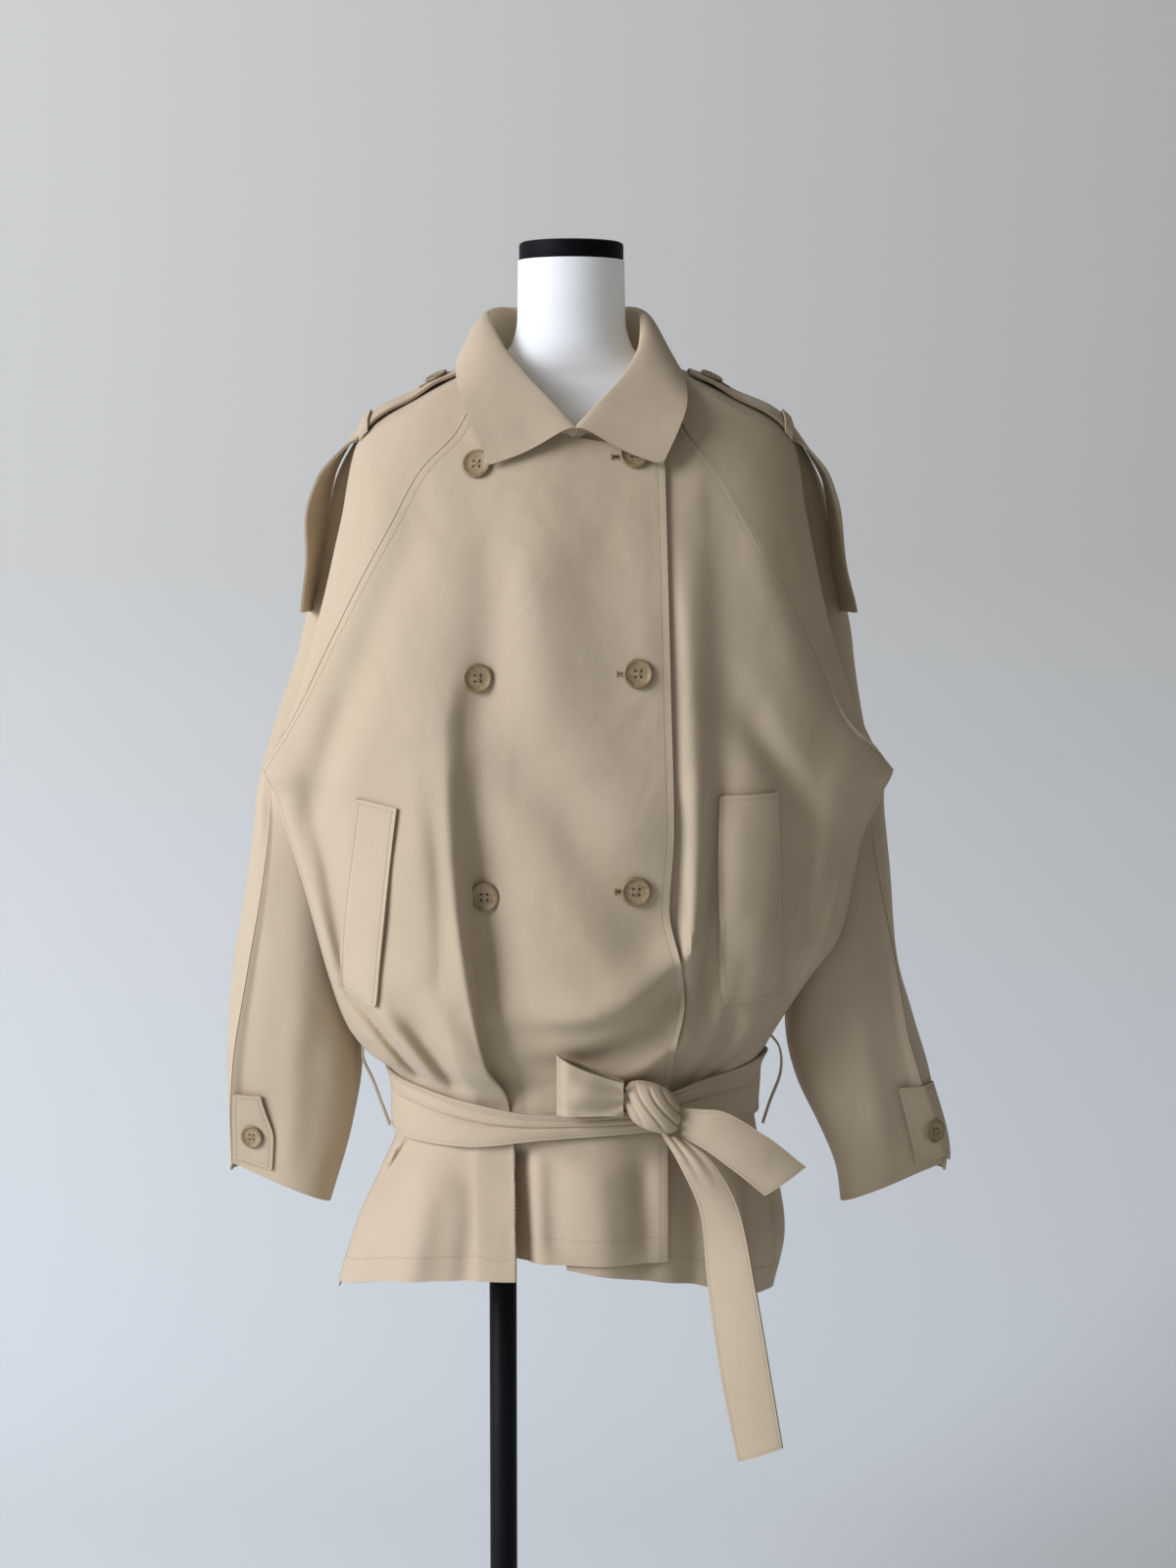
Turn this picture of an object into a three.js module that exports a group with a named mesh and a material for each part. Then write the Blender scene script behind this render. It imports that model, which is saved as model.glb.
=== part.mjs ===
// A belted short trench coat worn by a limbless dress form on a stand.
// Millimetres, +Z up, front towards -Y, +X to the right as seen from the front.
// The origin is the middle of the stand's underside.
import * as THREE from "three";

// Driving sizes
const CLOTH = 1.6;
const DOUBLE_CLOTH = 2.4;
const GAP = 0.4;
const BUTTON_RADIUS = 14;
const SMALL_BUTTON_RADIUS = 11.5;
const BELT_LEVEL = 680;
const HEM_LEVEL = 500;
const UNDERARM_LEVEL = 998;
const FRONT_TOP = 1303;
const NECK_BACK = 1392;
const POLE_X = -68;
const POLE_RADIUS = 13.5;
const BASE_RADIUS = 170;
const BASE_HEIGHT = 10;
const FORM_BOTTOM = 612;

// The body panels' rows: these levels up to the underarm, then NECK_ROWS along the raglan seams.
const LEVELS = [500, 536, 572, 606, 640, 680, 704, 722, 748, 782, 822, 868, 918, 962, 998];
const NECK_ROWS = 9;
const ROWS = LEVELS.length - 1 + NECK_ROWS;
const UNDERARM_ROW = (LEVELS.length - 1) / ROWS;
const SLEEVE_ROWS = 18;

// The coat's outline by height: left and right are its reach, front the middle's depth,
// tip the depth at the reach, and round how fully the front turns the corner there.
const BODY = [
  { z: 500, left: 228, right: 197, front: -152, tip: -26, round: 1.7 },
  { z: 557, left: 207, right: 208, front: -148, tip: -22, round: 1.8 },
  { z: 600, left: 186, right: 201, front: -140, tip: -14, round: 1.9 },
  { z: 640, left: 171, right: 181, front: -128, tip: -6, round: 2 },
  { z: 676, left: 170, right: 177, front: -125, tip: -4, round: 2 },
  { z: 702, left: 175, right: 178, front: -127, tip: -6, round: 2 },
  { z: 722, left: 200, right: 186, front: -139, tip: -18, round: 1.7 },
  { z: 748, left: 217, right: 199, front: -151, tip: -34, round: 1.5 },
  { z: 796, left: 232, right: 228, front: -162, tip: -52, round: 1.35 },
  { z: 840, left: 243, right: 257, front: -166, tip: -60, round: 1.3 },
  { z: 880, left: 253, right: 266, front: -167, tip: -64, round: 1.3 },
  { z: 930, left: 268, right: 276, front: -165, tip: -62, round: 1.3 },
  { z: 975, left: 283, right: 296, front: -162, tip: -56, round: 1.3 },
  { z: 998, left: 295, right: 307, front: -160, tip: -52, round: 1.3 },
  { z: 1072, left: 262, right: 268, front: -155, tip: -56, round: 1.5 },
  { z: 1148, left: 241, right: 244, front: -146, tip: -52, round: 1.6 },
  { z: 1237, left: 220, right: 226, front: -124, tip: -40, round: 1.7 },
  { z: 1300, left: 208, right: 216, front: -101, tip: -22, round: 1.8 },
  { z: 1340, left: 188, right: 198, front: -82, tip: -10, round: 1.8 },
  { z: 1392, left: 100, right: 104, front: -56, tip: -4, round: 1.8 },
];

// The back's half section by height: it leaves the side seam inwards and backwards by these,
// and comes round at half width core to the middle's depth.
const BACK = [
  { z: 500, inwards: 0, backwards: 90, core: 130, back: 138 },
  { z: 600, inwards: 0, backwards: 74, core: 108, back: 124 },
  { z: 676, inwards: 0, backwards: 60, core: 98, back: 110 },
  { z: 702, inwards: 0, backwards: 60, core: 104, back: 112 },
  { z: 736, inwards: 30, backwards: 60, core: 150, back: 128 },
  { z: 796, inwards: 90, backwards: 40, core: 190, back: 140 },
  { z: 850, inwards: 110, backwards: 34, core: 200, back: 146 },
  { z: 998, inwards: 124, backwards: 26, core: 200, back: 146 },
  { z: 1050, inwards: 84, backwards: 34, core: 170, back: 144 },
  { z: 1120, inwards: 50, backwards: 30, core: 130, back: 138 },
  { z: 1260, inwards: 45, backwards: 20, core: 90, back: 120 },
  { z: 1340, inwards: 30, backwards: 12, core: 50, back: 94 },
  { z: 1392, inwards: 20, backwards: 12, core: 30, back: 66 },
];

// The raglan seams by their share (at) of the sleeve's length, and the seam under the arm.
const FRONT_SEAM = [
  { at: 0, z: 1366, left: 84, right: 88 },
  { at: 0.08, z: 1318, left: 106, right: 108 },
  { at: 0.155, z: 1280, left: 141, right: 138 },
  { at: 0.23, z: 1232, left: 167, right: 166 },
  { at: 0.31, z: 1173, left: 199, right: 198 },
  { at: 0.39, z: 1112, left: 230, right: 227 },
  { at: 0.45, z: 1050, left: 262, right: 257 },
  { at: 0.5, z: 998, left: 295, right: 307 },
];
const BACK_SEAM = [
  { at: 0, x: 72, y: 47, z: 1388 },
  { at: 0.08, x: 98, y: 73, z: 1350 },
  { at: 0.155, x: 130, y: 88, z: 1304 },
  { at: 0.23, x: 160, y: 93, z: 1250 },
  { at: 0.31, x: 192, y: 92, z: 1188 },
  { at: 0.39, x: 222, y: 76, z: 1116 },
  { at: 0.45, x: 247, y: 34, z: 1052 },
  { at: 0.475, x: 255, y: -16, z: 1022 },
  { at: 0.5, x: 295, y: -52, z: 998 },
];
const UNDERARM_SEAM = [
  { at: 0.5, x: 295, y: -52, z: 998 },
  { at: 0.54, x: 268, y: -28, z: 955 },
  { at: 0.6, x: 240, y: -10, z: 893 },
  { at: 0.7, x: 222, y: 6, z: 795 },
  { at: 0.8, x: 208, y: 12, z: 706 },
  { at: 0.88, x: 217, y: 8, z: 645 },
  { at: 1, x: 239, y: 2, z: 567 },
];
// The seam along the top of the shoulder and down the arm, in the sleeve's own groove.
const OVERARM_SEAM = [
  { at: 0, x: 88, y: -2, z: 1385 },
  { at: 0.08, x: 142, y: -3, z: 1359 },
  { at: 0.155, x: 202, y: -5, z: 1318 },
  { at: 0.23, x: 212, y: 2, z: 1250 },
  { at: 0.31, x: 228, y: 0, z: 1178 },
  { at: 0.39, x: 250, y: -8, z: 1100 },
  { at: 0.45, x: 274, y: -12, z: 1036 },
  { at: 0.5, x: 290, y: -14, z: 984 },
  { at: 0.54, x: 291, y: -20, z: 950 },
  { at: 0.6, x: 297, y: -27, z: 893 },
  { at: 0.7, x: 314, y: -30, z: 795 },
  { at: 0.8, x: 329, y: -26, z: 706 },
  { at: 0.88, x: 333, y: -17, z: 650 },
  { at: 1, x: 333, y: -8, z: 606 },
];
// The sleeve's outermost line (x, y), how far the back panel swells behind it (behind), from where
// it comes to its inner seam (inwards, backwards), and how far the front panel swells forwards.
const SLEEVE = [
  { at: 0, x: 87, y: 14, behind: 8, inwards: -4, backwards: -8, forwards: 6 },
  { at: 0.08, x: 141, y: 24, behind: 22, inwards: -18, backwards: -12, forwards: 16 },
  { at: 0.155, x: 207, y: 26, behind: 44, inwards: -30, backwards: -14, forwards: 30 },
  { at: 0.23, x: 239, y: 28, behind: 54, inwards: -34, backwards: -14, forwards: 34 },
  { at: 0.31, x: 251, y: 30, behind: 58, inwards: -30, backwards: -8, forwards: 34 },
  { at: 0.39, x: 268, y: 32, behind: 62, inwards: -12, backwards: 12, forwards: 26 },
  { at: 0.45, x: 289, y: 34, behind: 70, inwards: 22, backwards: 48, forwards: 8 },
  { at: 0.5, x: 303, y: 34, behind: 76, inwards: 104, backwards: 96, forwards: 0 },
  { at: 0.54, x: 309, y: 34, behind: 78, inwards: 86, backwards: 92, forwards: 10 },
  { at: 0.6, x: 320, y: 34, behind: 78, inwards: 54, backwards: 88, forwards: 26 },
  { at: 0.7, x: 335, y: 34, behind: 72, inwards: 22, backwards: 78, forwards: 44 },
  { at: 0.8, x: 340, y: 32, behind: 64, inwards: 6, backwards: 66, forwards: 50 },
  { at: 0.88, x: 339, y: 30, behind: 58, inwards: 4, backwards: 60, forwards: 46 },
  { at: 1, x: 338, y: 28, behind: 52, inwards: 2, backwards: 54, forwards: 40 },
];
// How far the sleeve at +X lies outside the mirror of the one at -X.
const LEAN = [
  { z: 565, outer: 27, seam: 27 },
  { z: 605, outer: 33, seam: 30 },
  { z: 691, outer: 13, seam: 10 },
  { z: 743, outer: 0, seam: 2 },
  { z: 813, outer: -9, seam: 2 },
  { z: 940, outer: -8, seam: -2 },
  { z: 984, outer: -7, seam: 10 },
  { z: 1028, outer: -6, seam: 4 },
  { z: 1097, outer: 6, seam: 4 },
  { z: 1145, outer: 11, seam: 8 },
  { z: 1313, outer: 11, seam: 11 },
  { z: 1390, outer: 2, seam: 2 },
];

// The largest folds: ridges (+) and troughs (-) on the front, from one point to another.
const FOLDS = [
  { x0: -70, z0: 1062, x1: 36, z1: 898, width: 34, depth: -6 },
  { x0: -286, z0: 984, x1: -222, z1: 806, width: 17, depth: 7 },
  { x0: -206, z0: 1096, x1: -240, z1: 984, width: 17, depth: -6 },
  { x0: -240, z0: 984, x1: -222, z1: 850, width: 17, depth: -8 },
  { x0: -150, z0: 1000, x1: -162, z1: 820, width: 36, depth: 5 },
  { x0: -218, z0: 804, x1: -150, z1: 712, width: 13, depth: -9 },
  { x0: -194, z0: 806, x1: -134, z1: 722, width: 15, depth: 6 },
  { x0: -37, z0: 782, x1: 90, z1: 810, width: 22, depth: 6 },
  { x0: -20, z0: 738, x1: 92, z1: 774, width: 15, depth: -6 },
  { x0: 101, z0: 1200, x1: 112, z1: 990, width: 15, depth: 8 },
  { x0: 116, z0: 976, x1: 104, z1: 770, width: 15, depth: 8 },
  { x0: 127, z0: 990, x1: 123, z1: 806, width: 11, depth: -6 },
  { x0: 150, z0: 1072, x1: 200, z1: 998, width: 18, depth: -5 },
  { x0: 298, z0: 984, x1: 238, z1: 830, width: 18, depth: 7 },
  { x0: 180, z0: 900, x1: 170, z1: 760, width: 26, depth: 6 },
  { x0: 140, z0: 760, x1: 176, z1: 720, width: 14, depth: -5 },
  { x0: -130, z0: 1300, x1: -168, z1: 1200, width: 17, depth: -5 },
  { x0: -158, z0: 1290, x1: -214, z1: 1130, width: 18, depth: 5 },
  { x0: -97, z0: 1262, x1: -95, z1: 1190, width: 18, depth: -3 },
  { x0: 176, z0: 1262, x1: 214, z1: 1120, width: 20, depth: 4 },
  { x0: -166, z0: 642, x1: -200, z1: 572, width: 14, depth: -9 },
  { x0: -130, z0: 640, x1: -146, z1: 510, width: 24, depth: 6 },
  { x0: 22, z0: 640, x1: 26, z1: 540, width: 30, depth: 5 },
  { x0: 118, z0: 640, x1: 116, z1: 510, width: 16, depth: -7 },
  { x0: 158, z0: 640, x1: 172, z1: 500, width: 18, depth: 6 },
];
// The deep pleat from the middle left button to the hem: its line, how far it laps, how far
// its upper fold stands out and its lower fold lies behind.
const PLEAT = [
  { z: 500, x: -63, lap: 15, rise: 8, sink: 12 },
  { z: 640, x: -64, lap: 14, rise: 3, sink: 10 },
  { z: 690, x: -66, lap: 11, rise: 1.5, sink: 8 },
  { z: 728, x: -82, lap: 8, rise: 5, sink: 9 },
  { z: 806, x: -92, lap: 3, rise: 7, sink: 9 },
  { z: 898, x: -100, lap: 0, rise: 5, sink: 8 },
  { z: 960, x: -105, lap: 0, rise: 4, sink: 6 },
  { z: 1045, x: -106, lap: 0, rise: 3, sink: 4 },
  { z: 1095, x: -100, lap: 0, rise: 0, sink: 0 },
];
const PLEAT_HALF = 24;

// The two fronts' edges, and the hem's height across each front.
const FRONT_EDGE = [
  { z: 500, x: 91 },
  { z: 660, x: 91 },
  { z: 731, x: 96 },
  { z: 789, x: 106 },
  { z: 825, x: 102 },
  { z: 876, x: 91 },
  { z: 950, x: 95 },
  { z: 1083, x: 92 },
  { z: 1303, x: 87 },
];
const UNDER_EDGE = [
  { z: 500, x: -4 },
  { z: 780, x: -4 },
  { z: 980, x: -30 },
  { z: 1303, x: -40 },
];
const HEM_RIGHT = [
  { x: -240, z: 492 },
  { x: -158, z: 518 },
  { x: -62, z: 527 },
  { x: -44, z: 541 },
  { x: 95, z: 541 },
];
const HEM_LEFT = [
  { x: -10, z: 536 },
  { x: 60, z: 525 },
  { x: 127, z: 512 },
  { x: 210, z: 486 },
];
const HEM_BACK = 488;

// The collar from its front end (0) to the middle of the back (1), on one side of the line mid:
// n the neck seam, r the roll at the top, o the outer edge.
const COLLAR = [
  { at: 0, mid: 5, nx: 1, ny: -98, nz: 1312, rx: 0.5, ry: -107, rz: 1319, ox: 80, oy: -116, oz: 1286 },
  { at: 0.12, mid: 5, nx: 17, ny: -92, nz: 1320, rx: 24, ry: -97, rz: 1344, ox: 95, oy: -109, oz: 1318 },
  { at: 0.26, mid: 4, nx: 44, ny: -78, nz: 1342, rx: 47, ry: -79, rz: 1370, ox: 104, oy: -92, oz: 1342 },
  { at: 0.42, mid: 0, nx: 72, ny: -48, nz: 1371, rx: 67, ry: -48, rz: 1402, ox: 107, oy: -62, oz: 1366 },
  { at: 0.6, mid: -6, nx: 80, ny: -8, nz: 1391, rx: 75, ry: -8, rz: 1431, ox: 101, oy: -12, oz: 1390 },
  { at: 0.78, mid: -6, nx: 64, ny: 44, nz: 1396, rx: 60, ry: 42, rz: 1441, ox: 84, oy: 60, oz: 1394 },
  { at: 1, mid: 0, nx: 0, ny: 68, nz: 1397, rx: 0, ry: 66, rz: 1440, ox: 0, oy: 90, oz: 1388 },
];
const COLLAR_BEND = 3.2;

// The belt's edges round the waist, by angle: 0 at +X, 90 at the front, 180 at -X, 270 at the back.
const BELT = [
  { turn: 64, low: 663, high: 683, out: 8, crease: 2 },
  { turn: 98, low: 656, high: 679, out: 8, crease: 2 },
  { turn: 124, low: 646, high: 689, out: 7.5, crease: 3 },
  { turn: 150, low: 645, high: 700, out: 5.5, crease: 2 },
  { turn: 180, low: 647, high: 705, out: 4.5, crease: 0 },
  { turn: 270, low: 652, high: 706, out: 6, crease: 0 },
  { turn: 360, low: 661, high: 722, out: 4.5, crease: 0 },
  { turn: 400, low: 664, high: 712, out: 6, crease: 1.5 },
  { turn: 420, low: 666, high: 698, out: 8, crease: 2 },
];

// The belt's two hanging ends: each row gives both edges and the depth.
const SHORT_END = [
  { at: 0, x0: 103.4, z0: 662, x1: 103.9, z1: 688, y: -142 },
  { at: 0.3, x0: 122, z0: 653, x1: 134, z1: 688, y: -151 },
  { at: 0.65, x0: 152, z0: 632, x1: 178, z1: 667, y: -156 },
  { at: 1, x0: 181, z0: 608, x1: 219, z1: 635, y: -154 },
];
const LONG_END = [
  { at: 0, x0: 84, z0: 666, x1: 106, z1: 658.5, y: -142 },
  { at: 0.1, x0: 101, z0: 638, x1: 129, z1: 642, y: -152 },
  { at: 0.26, x0: 122, z0: 586, x1: 157, z1: 593, y: -155 },
  { at: 0.48, x0: 129, z0: 520, x1: 172, z1: 522, y: -152 },
  { at: 0.74, x0: 141, z0: 436, x1: 187, z1: 436, y: -146 },
  { at: 1, x0: 159, z0: 343, x1: 199, z1: 366, y: -138 },
];

// The free ends of the shoulder straps beyond their loops: the middle line, and the twist in depth.
const STRAP_FALL = [
  { at: 0, x: 212, z: 1317, twist: 0 },
  { at: 0.12, x: 224, z: 1300, twist: 1 },
  { at: 0.3, x: 239, z: 1272, twist: 2 },
  { at: 0.5, x: 250, z: 1238, twist: 2 },
  { at: 0.75, x: 256, z: 1192, twist: -1 },
  { at: 1, x: 259, z: 1147, twist: 1 },
];

// The form's sections: half width, reach to the front and to the back, and how square they are (less
// is squarer).
const FORM = [
  { z: 612, wide: 146, front: 84, back: 80, full: 1 },
  { z: 620, wide: 154, front: 94, back: 88, full: 1 },
  { z: 660, wide: 160, front: 104, back: 95, full: 1 },
  { z: 720, wide: 163, front: 107, back: 98, full: 1 },
  { z: 800, wide: 162, front: 106, back: 100, full: 0.96 },
  { z: 900, wide: 146, front: 100, back: 92, full: 0.92 },
  { z: 1000, wide: 126, front: 92, back: 84, full: 0.9 },
  { z: 1090, wide: 144, front: 104, back: 88, full: 0.9 },
  { z: 1170, wide: 160, front: 112, back: 92, full: 0.88 },
  { z: 1240, wide: 178, front: 92, back: 90, full: 0.86 },
  { z: 1290, wide: 184, front: 74, back: 78, full: 0.86 },
  { z: 1328, wide: 176, front: 56, back: 60, full: 0.9 },
  { z: 1352, wide: 150, front: 46, back: 50, full: 0.94 },
  { z: 1370, wide: 112, front: 46, back: 50, full: 1 },
  { z: 1383, wide: 78, front: 50, back: 52, full: 1 },
  { z: 1402, wide: 58, front: 53, back: 53, full: 1 },
  { z: 1425, wide: 52, front: 50, back: 50, full: 1 },
  { z: 1482, wide: 51, front: 50, back: 50, full: 1 },
];

const mix = (a, b, t) => a + (b - a) * t;
const clamp = (v, low, high) => Math.min(high, Math.max(low, v));
const ease = (low, high, v) => {
  const t = clamp((v - low) / (high - low), 0, 1);
  return t * t * (3 - 2 * t);
};
const bell = (d) => Math.exp(-d * d);
const point = (x, y, z) => new THREE.Vector3(x, y, z);

// A smooth line through one column of a table, with slopes that never overshoot its rows.
function line(rows, key, column) {
  const xs = rows.map((row) => row[key]);
  const ys = rows.map((row) => row[column]);
  const steps = xs.slice(1).map((x, i) => (ys[i + 1] - ys[i]) / (x - xs[i]));
  const slopes = xs.map((x, i) => {
    const before = steps[Math.max(i - 1, 0)];
    const after = steps[Math.min(i, steps.length - 1)];
    return before * after <= 0 ? 0 : (2 * before * after) / (before + after);
  });
  return (at) => {
    const v = clamp(at, xs[0], xs[xs.length - 1]);
    let i = 0;
    while (i < xs.length - 2 && v > xs[i + 1]) i += 1;
    const h = xs[i + 1] - xs[i];
    const t = (v - xs[i]) / h;
    const rise = ys[i + 1] - ys[i];
    const bend = (slopes[i] * h - rise) * (1 - t) - (slopes[i + 1] * h - rise) * t;
    return ys[i] + rise * t + bend * t * (1 - t);
  };
}

// One smooth function for each of a table's columns.
function lines(rows, key) {
  const names = Object.keys(rows[0]).filter((name) => name !== key);
  return Object.fromEntries(names.map((name) => [name, line(rows, key, name)]));
}

const body = lines(BODY, "z");
const behind = lines(BACK, "z");
const pleat = lines(PLEAT, "z");
const lean = lines(LEAN, "z");
const raglan = lines(FRONT_SEAM, "at");
const backSeam = lines(BACK_SEAM, "at");
const underarm = lines(UNDERARM_SEAM, "at");
const overarm = lines(OVERARM_SEAM, "at");
const sleeve = lines(SLEEVE, "at");
const frontEdge = line(FRONT_EDGE, "z", "x");
const underEdge = line(UNDER_EDGE, "z", "x");
const hemRight = line(HEM_RIGHT, "x", "z");
const hemLeft = line(HEM_LEFT, "x", "z");
const collar = lines(COLLAR, "at");
const belt = lines(BELT, "turn");
const shortEnd = lines(SHORT_END, "at");
const longEnd = lines(LONG_END, "at");
const fall = lines(STRAP_FALL, "at");

// A cubic curve from a to d that leaves towards b and arrives from c.
function bezier(a, b, c, d, t) {
  const s = 1 - t;
  return point(0, 0, 0)
    .addScaledVector(a, s * s * s)
    .addScaledVector(b, 3 * s * s * t)
    .addScaledVector(c, 3 * s * t * t)
    .addScaledVector(d, t * t * t);
}

// The level of a row below the underarm, as a share v of all rows.
function levelAt(v) {
  const row = clamp(v * ROWS, 0, LEVELS.length - 1);
  const below = Math.min(Math.floor(row), LEVELS.length - 2);
  return mix(LEVELS[below], LEVELS[below + 1], row - below);
}

// How far the folds raise the front at a place: each is a ridge along its line, faded at its ends.
function foldHeight(x, z) {
  let height = 0;
  for (const f of FOLDS) {
    const dx = f.x1 - f.x0;
    const dz = f.z1 - f.z0;
    const long = Math.hypot(dx, dz);
    const along = ((x - f.x0) * dx + (z - f.z0) * dz) / long;
    const off = ((x - f.x0) * dz - (z - f.z0) * dx) / long;
    const past = Math.max(0, -along, along - long);
    height += f.depth * bell(off / f.width) * bell(past / (1.6 * f.width));
  }
  return height;
}

// The depth of the front at a place: a flat middle that turns a rounded corner at the reach.
function frontDepth(x, z) {
  const reach = x < 0 ? body.left(z) : body.right(z);
  const share = Math.min(Math.abs(x) / reach, 1);
  const turn = 1 - (1 - share ** 2.3) ** (1 / body.round(z));
  const edgeFade = 1 - ease(0.86, 1, share);
  const beltFade = 1 - bell((z - BELT_LEVEL) / 30);
  return mix(body.front(z), body.tip(z), turn) - foldHeight(x, z) * edgeFade * beltFade;
}

const frontPoint = (x, z) => point(x, frontDepth(x, z), z);

// The underarm point: both raglan seams, the side seam and the underarm seam meet there.
function underarmPoint(side) {
  const z = UNDERARM_LEVEL;
  return point(side < 0 ? -body.left(z) : body.right(z), body.tip(z), z);
}

// A point of a seam that is mirrored for the other sleeve and ends at the underarm point there.
function seamPoint(side, seam, at, leaning) {
  const z = seam.z(at);
  if (side < 0) return point(-seam.x(at), seam.y(at), z);
  const p = point(seam.x(at) + leaning(z), seam.y(at), z);
  const meets = seam === overarm ? 0 : bell((at - 0.5) / 0.05);
  const from = underarmPoint(-1);
  p.x += (underarmPoint(1).x + from.x - leaning(from.z)) * meets;
  return p;
}

function raglanPoint(side, at) {
  const z = raglan.z(at);
  const x = side < 0 ? -raglan.left(at) : raglan.right(at);
  return frontPoint(x, z);
}

const backSeamPoint = (side, at) => seamPoint(side, backSeam, at, lean.outer);
const underarmSeamPoint = (side, at) => seamPoint(side, underarm, at, lean.outer);
const overarmPoint = (side, at) => seamPoint(side, overarm, at, lean.seam);

// The seam where the body meets the sleeve or, below the underarm, its own other half.
function sideSeam(side, v, which) {
  if (v < UNDERARM_ROW) {
    const z = levelAt(v);
    return point(side < 0 ? -body.left(z) : body.right(z), body.tip(z), z);
  }
  const at = 0.5 * (1 - (v - UNDERARM_ROW) / (1 - UNDERARM_ROW));
  return which === "front" ? raglanPoint(side, at) : backSeamPoint(side, at);
}

// The height of a row at the middle of the front or back, whose top is at the given level.
function middleLevel(v, top) {
  if (v < UNDERARM_ROW) return levelAt(v);
  return mix(UNDERARM_LEVEL, top, (v - UNDERARM_ROW) / (1 - UNDERARM_ROW));
}

// Squeezes a level between the hem and the belt, so that the skirt ends at its own hem line.
function skirtLevel(z, hem) {
  if (z >= BELT_LEVEL) return z;
  const scaled = mix(hem, BELT_LEVEL, (z - HEM_LEVEL) / (BELT_LEVEL - HEM_LEVEL));
  return mix(z, scaled, ease(BELT_LEVEL - 20, BELT_LEVEL - 60, z));
}

// Where the pleat carries a place on the upper front: sideways under its edge and into the depth.
function pleated(p) {
  const t = (p.x - pleat.x(p.z)) / PLEAT_HALF;
  const swing = Math.sin(Math.PI * clamp(t, -1, 1)) * bell(t / 1.35);
  const rise = -pleat.rise(p.z) * bell((Math.min(t, 0) + 0.4) / 1.3);
  const sink = pleat.sink(p.z) * bell((Math.max(t, 0) - 0.4) / 0.8);
  const under = ease(-0.42, 0.42, t);
  return point(p.x - 1.6 * pleat.lap(p.z) * swing, p.y + mix(rise, sink, under), p.z);
}

// Columns gather towards the pleat.
const gathered = (u) => u + (0.35 * Math.sin(2 * Math.PI * u)) / (2 * Math.PI);

// The front that lies on top, from the side at -X (0) to its edge past the middle (1).
function upperFront(u, v) {
  const outer = sideSeam(-1, v, "front");
  const edge = middleLevel(v, FRONT_TOP);
  const share = gathered(u);
  const x = mix(outer.x, frontEdge(edge), share);
  const neck = -22 * ease(0.9, 1, v) * Math.sin(Math.PI * share ** 0.8);
  const level = mix(outer.z, edge, share) + neck;
  const p = u === 0 ? outer : pleated(frontPoint(x, level));
  p.z = skirtLevel(level, hemRight(x));
  return p;
}

// The front underneath, from its hidden edge (0) to the side at +X (1); columns crowd to the side.
function underFront(u, v) {
  const outer = sideSeam(1, v, "front");
  const edge = middleLevel(v, FRONT_TOP);
  const share = u + 0.13 * Math.sin(Math.PI * u);
  const x = mix(underEdge(edge), outer.x, share);
  const neck = -12 * ease(0.86, 1, v) * Math.sin(Math.PI * share);
  const level = mix(edge, outer.z, share) + neck;
  const p = u === 1 ? outer : frontPoint(x, level);
  const hidden = 1 - ease(frontEdge(level) + 4, frontEdge(level) + 36, x);
  p.y += hidden * (4.6 + 1.4 * ease(720, 780, level) * ease(1010, 960, level));
  p.z = skirtLevel(level, hemLeft(x));
  return p;
}

// The back's two halves, from the side at -X (0) past the seam in the middle to the side at +X (1).
function backPanel(u, v) {
  const side = u < 0.5 ? -1 : 1;
  const outer = sideSeam(side, v, "back");
  const top = middleLevel(v, NECK_BACK);
  const t = u < 0.5 ? 2 * u : 2 - 2 * u;
  const z = outer.z;
  const middle = point(0, behind.back(top), top);
  const leave = point(
    outer.x - side * behind.inwards(z), outer.y + behind.backwards(z), mix(z, top, 0.3));
  const arrive = point(side * behind.core(z), middle.y, mix(z, top, 0.8));
  const p = bezier(outer, leave, arrive, middle, t);
  p.y += 5 * Math.sin(p.x / 17) * bell((p.z - 750) / 46) * ease(0.3, 0.6, t);
  p.y += 6 * Math.cos(p.x / 26) * bell((p.z - 520) / 60) * ease(0.3, 0.6, t);
  p.z = skirtLevel(p.z, HEM_BACK);
  return p;
}

// The sleeve's front panel, from the raglan and underarm seams (0) to the overarm seam (1).
// Above the underarm it follows the front to its outline, then turns back into the groove.
function sleeveFront(side, u, v) {
  const over = overarmPoint(side, v);
  const forwards = sleeve.forwards(v);
  const seam = v < 0.5 ? raglanPoint(side, v) : underarmSeamPoint(side, v);
  const leave = point(seam.x, seam.y - forwards * 1.15, mix(seam.z, over.z, 0.2));
  const arrive = point(mix(seam.x, over.x, 0.72), over.y - forwards * 0.6, mix(seam.z, over.z, 0.72));
  const free = bezier(seam, leave, arrive, over, u);
  if (v >= 0.5) return free;
  const foldZ = mix(seam.z, over.z, 0.6);
  const reach = side < 0 ? body.left(foldZ) : body.right(foldZ);
  const turnShare = 0.62;
  const widest = Math.abs(over.x) + 10 * ease(0.12, 0.2, v);
  const foldX = side * Math.max(Math.min(reach * 0.985, widest), Math.abs(seam.x) + 1);
  let held;
  if (u < turnShare) {
    const t = u / turnShare;
    held = frontPoint(mix(seam.x, foldX, t), mix(seam.z, foldZ, t));
  } else {
    const fold = frontPoint(foldX, foldZ);
    const out = point(foldX + side * 2, fold.y + 16, mix(foldZ, over.z, 0.4));
    const back = point(mix(foldX, over.x, 0.6), over.y - 10, mix(foldZ, over.z, 0.8));
    held = bezier(fold, out, back, over, (u - turnShare) / (1 - turnShare));
  }
  return held.lerp(free, ease(0.4, 0.5, v));
}

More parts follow.
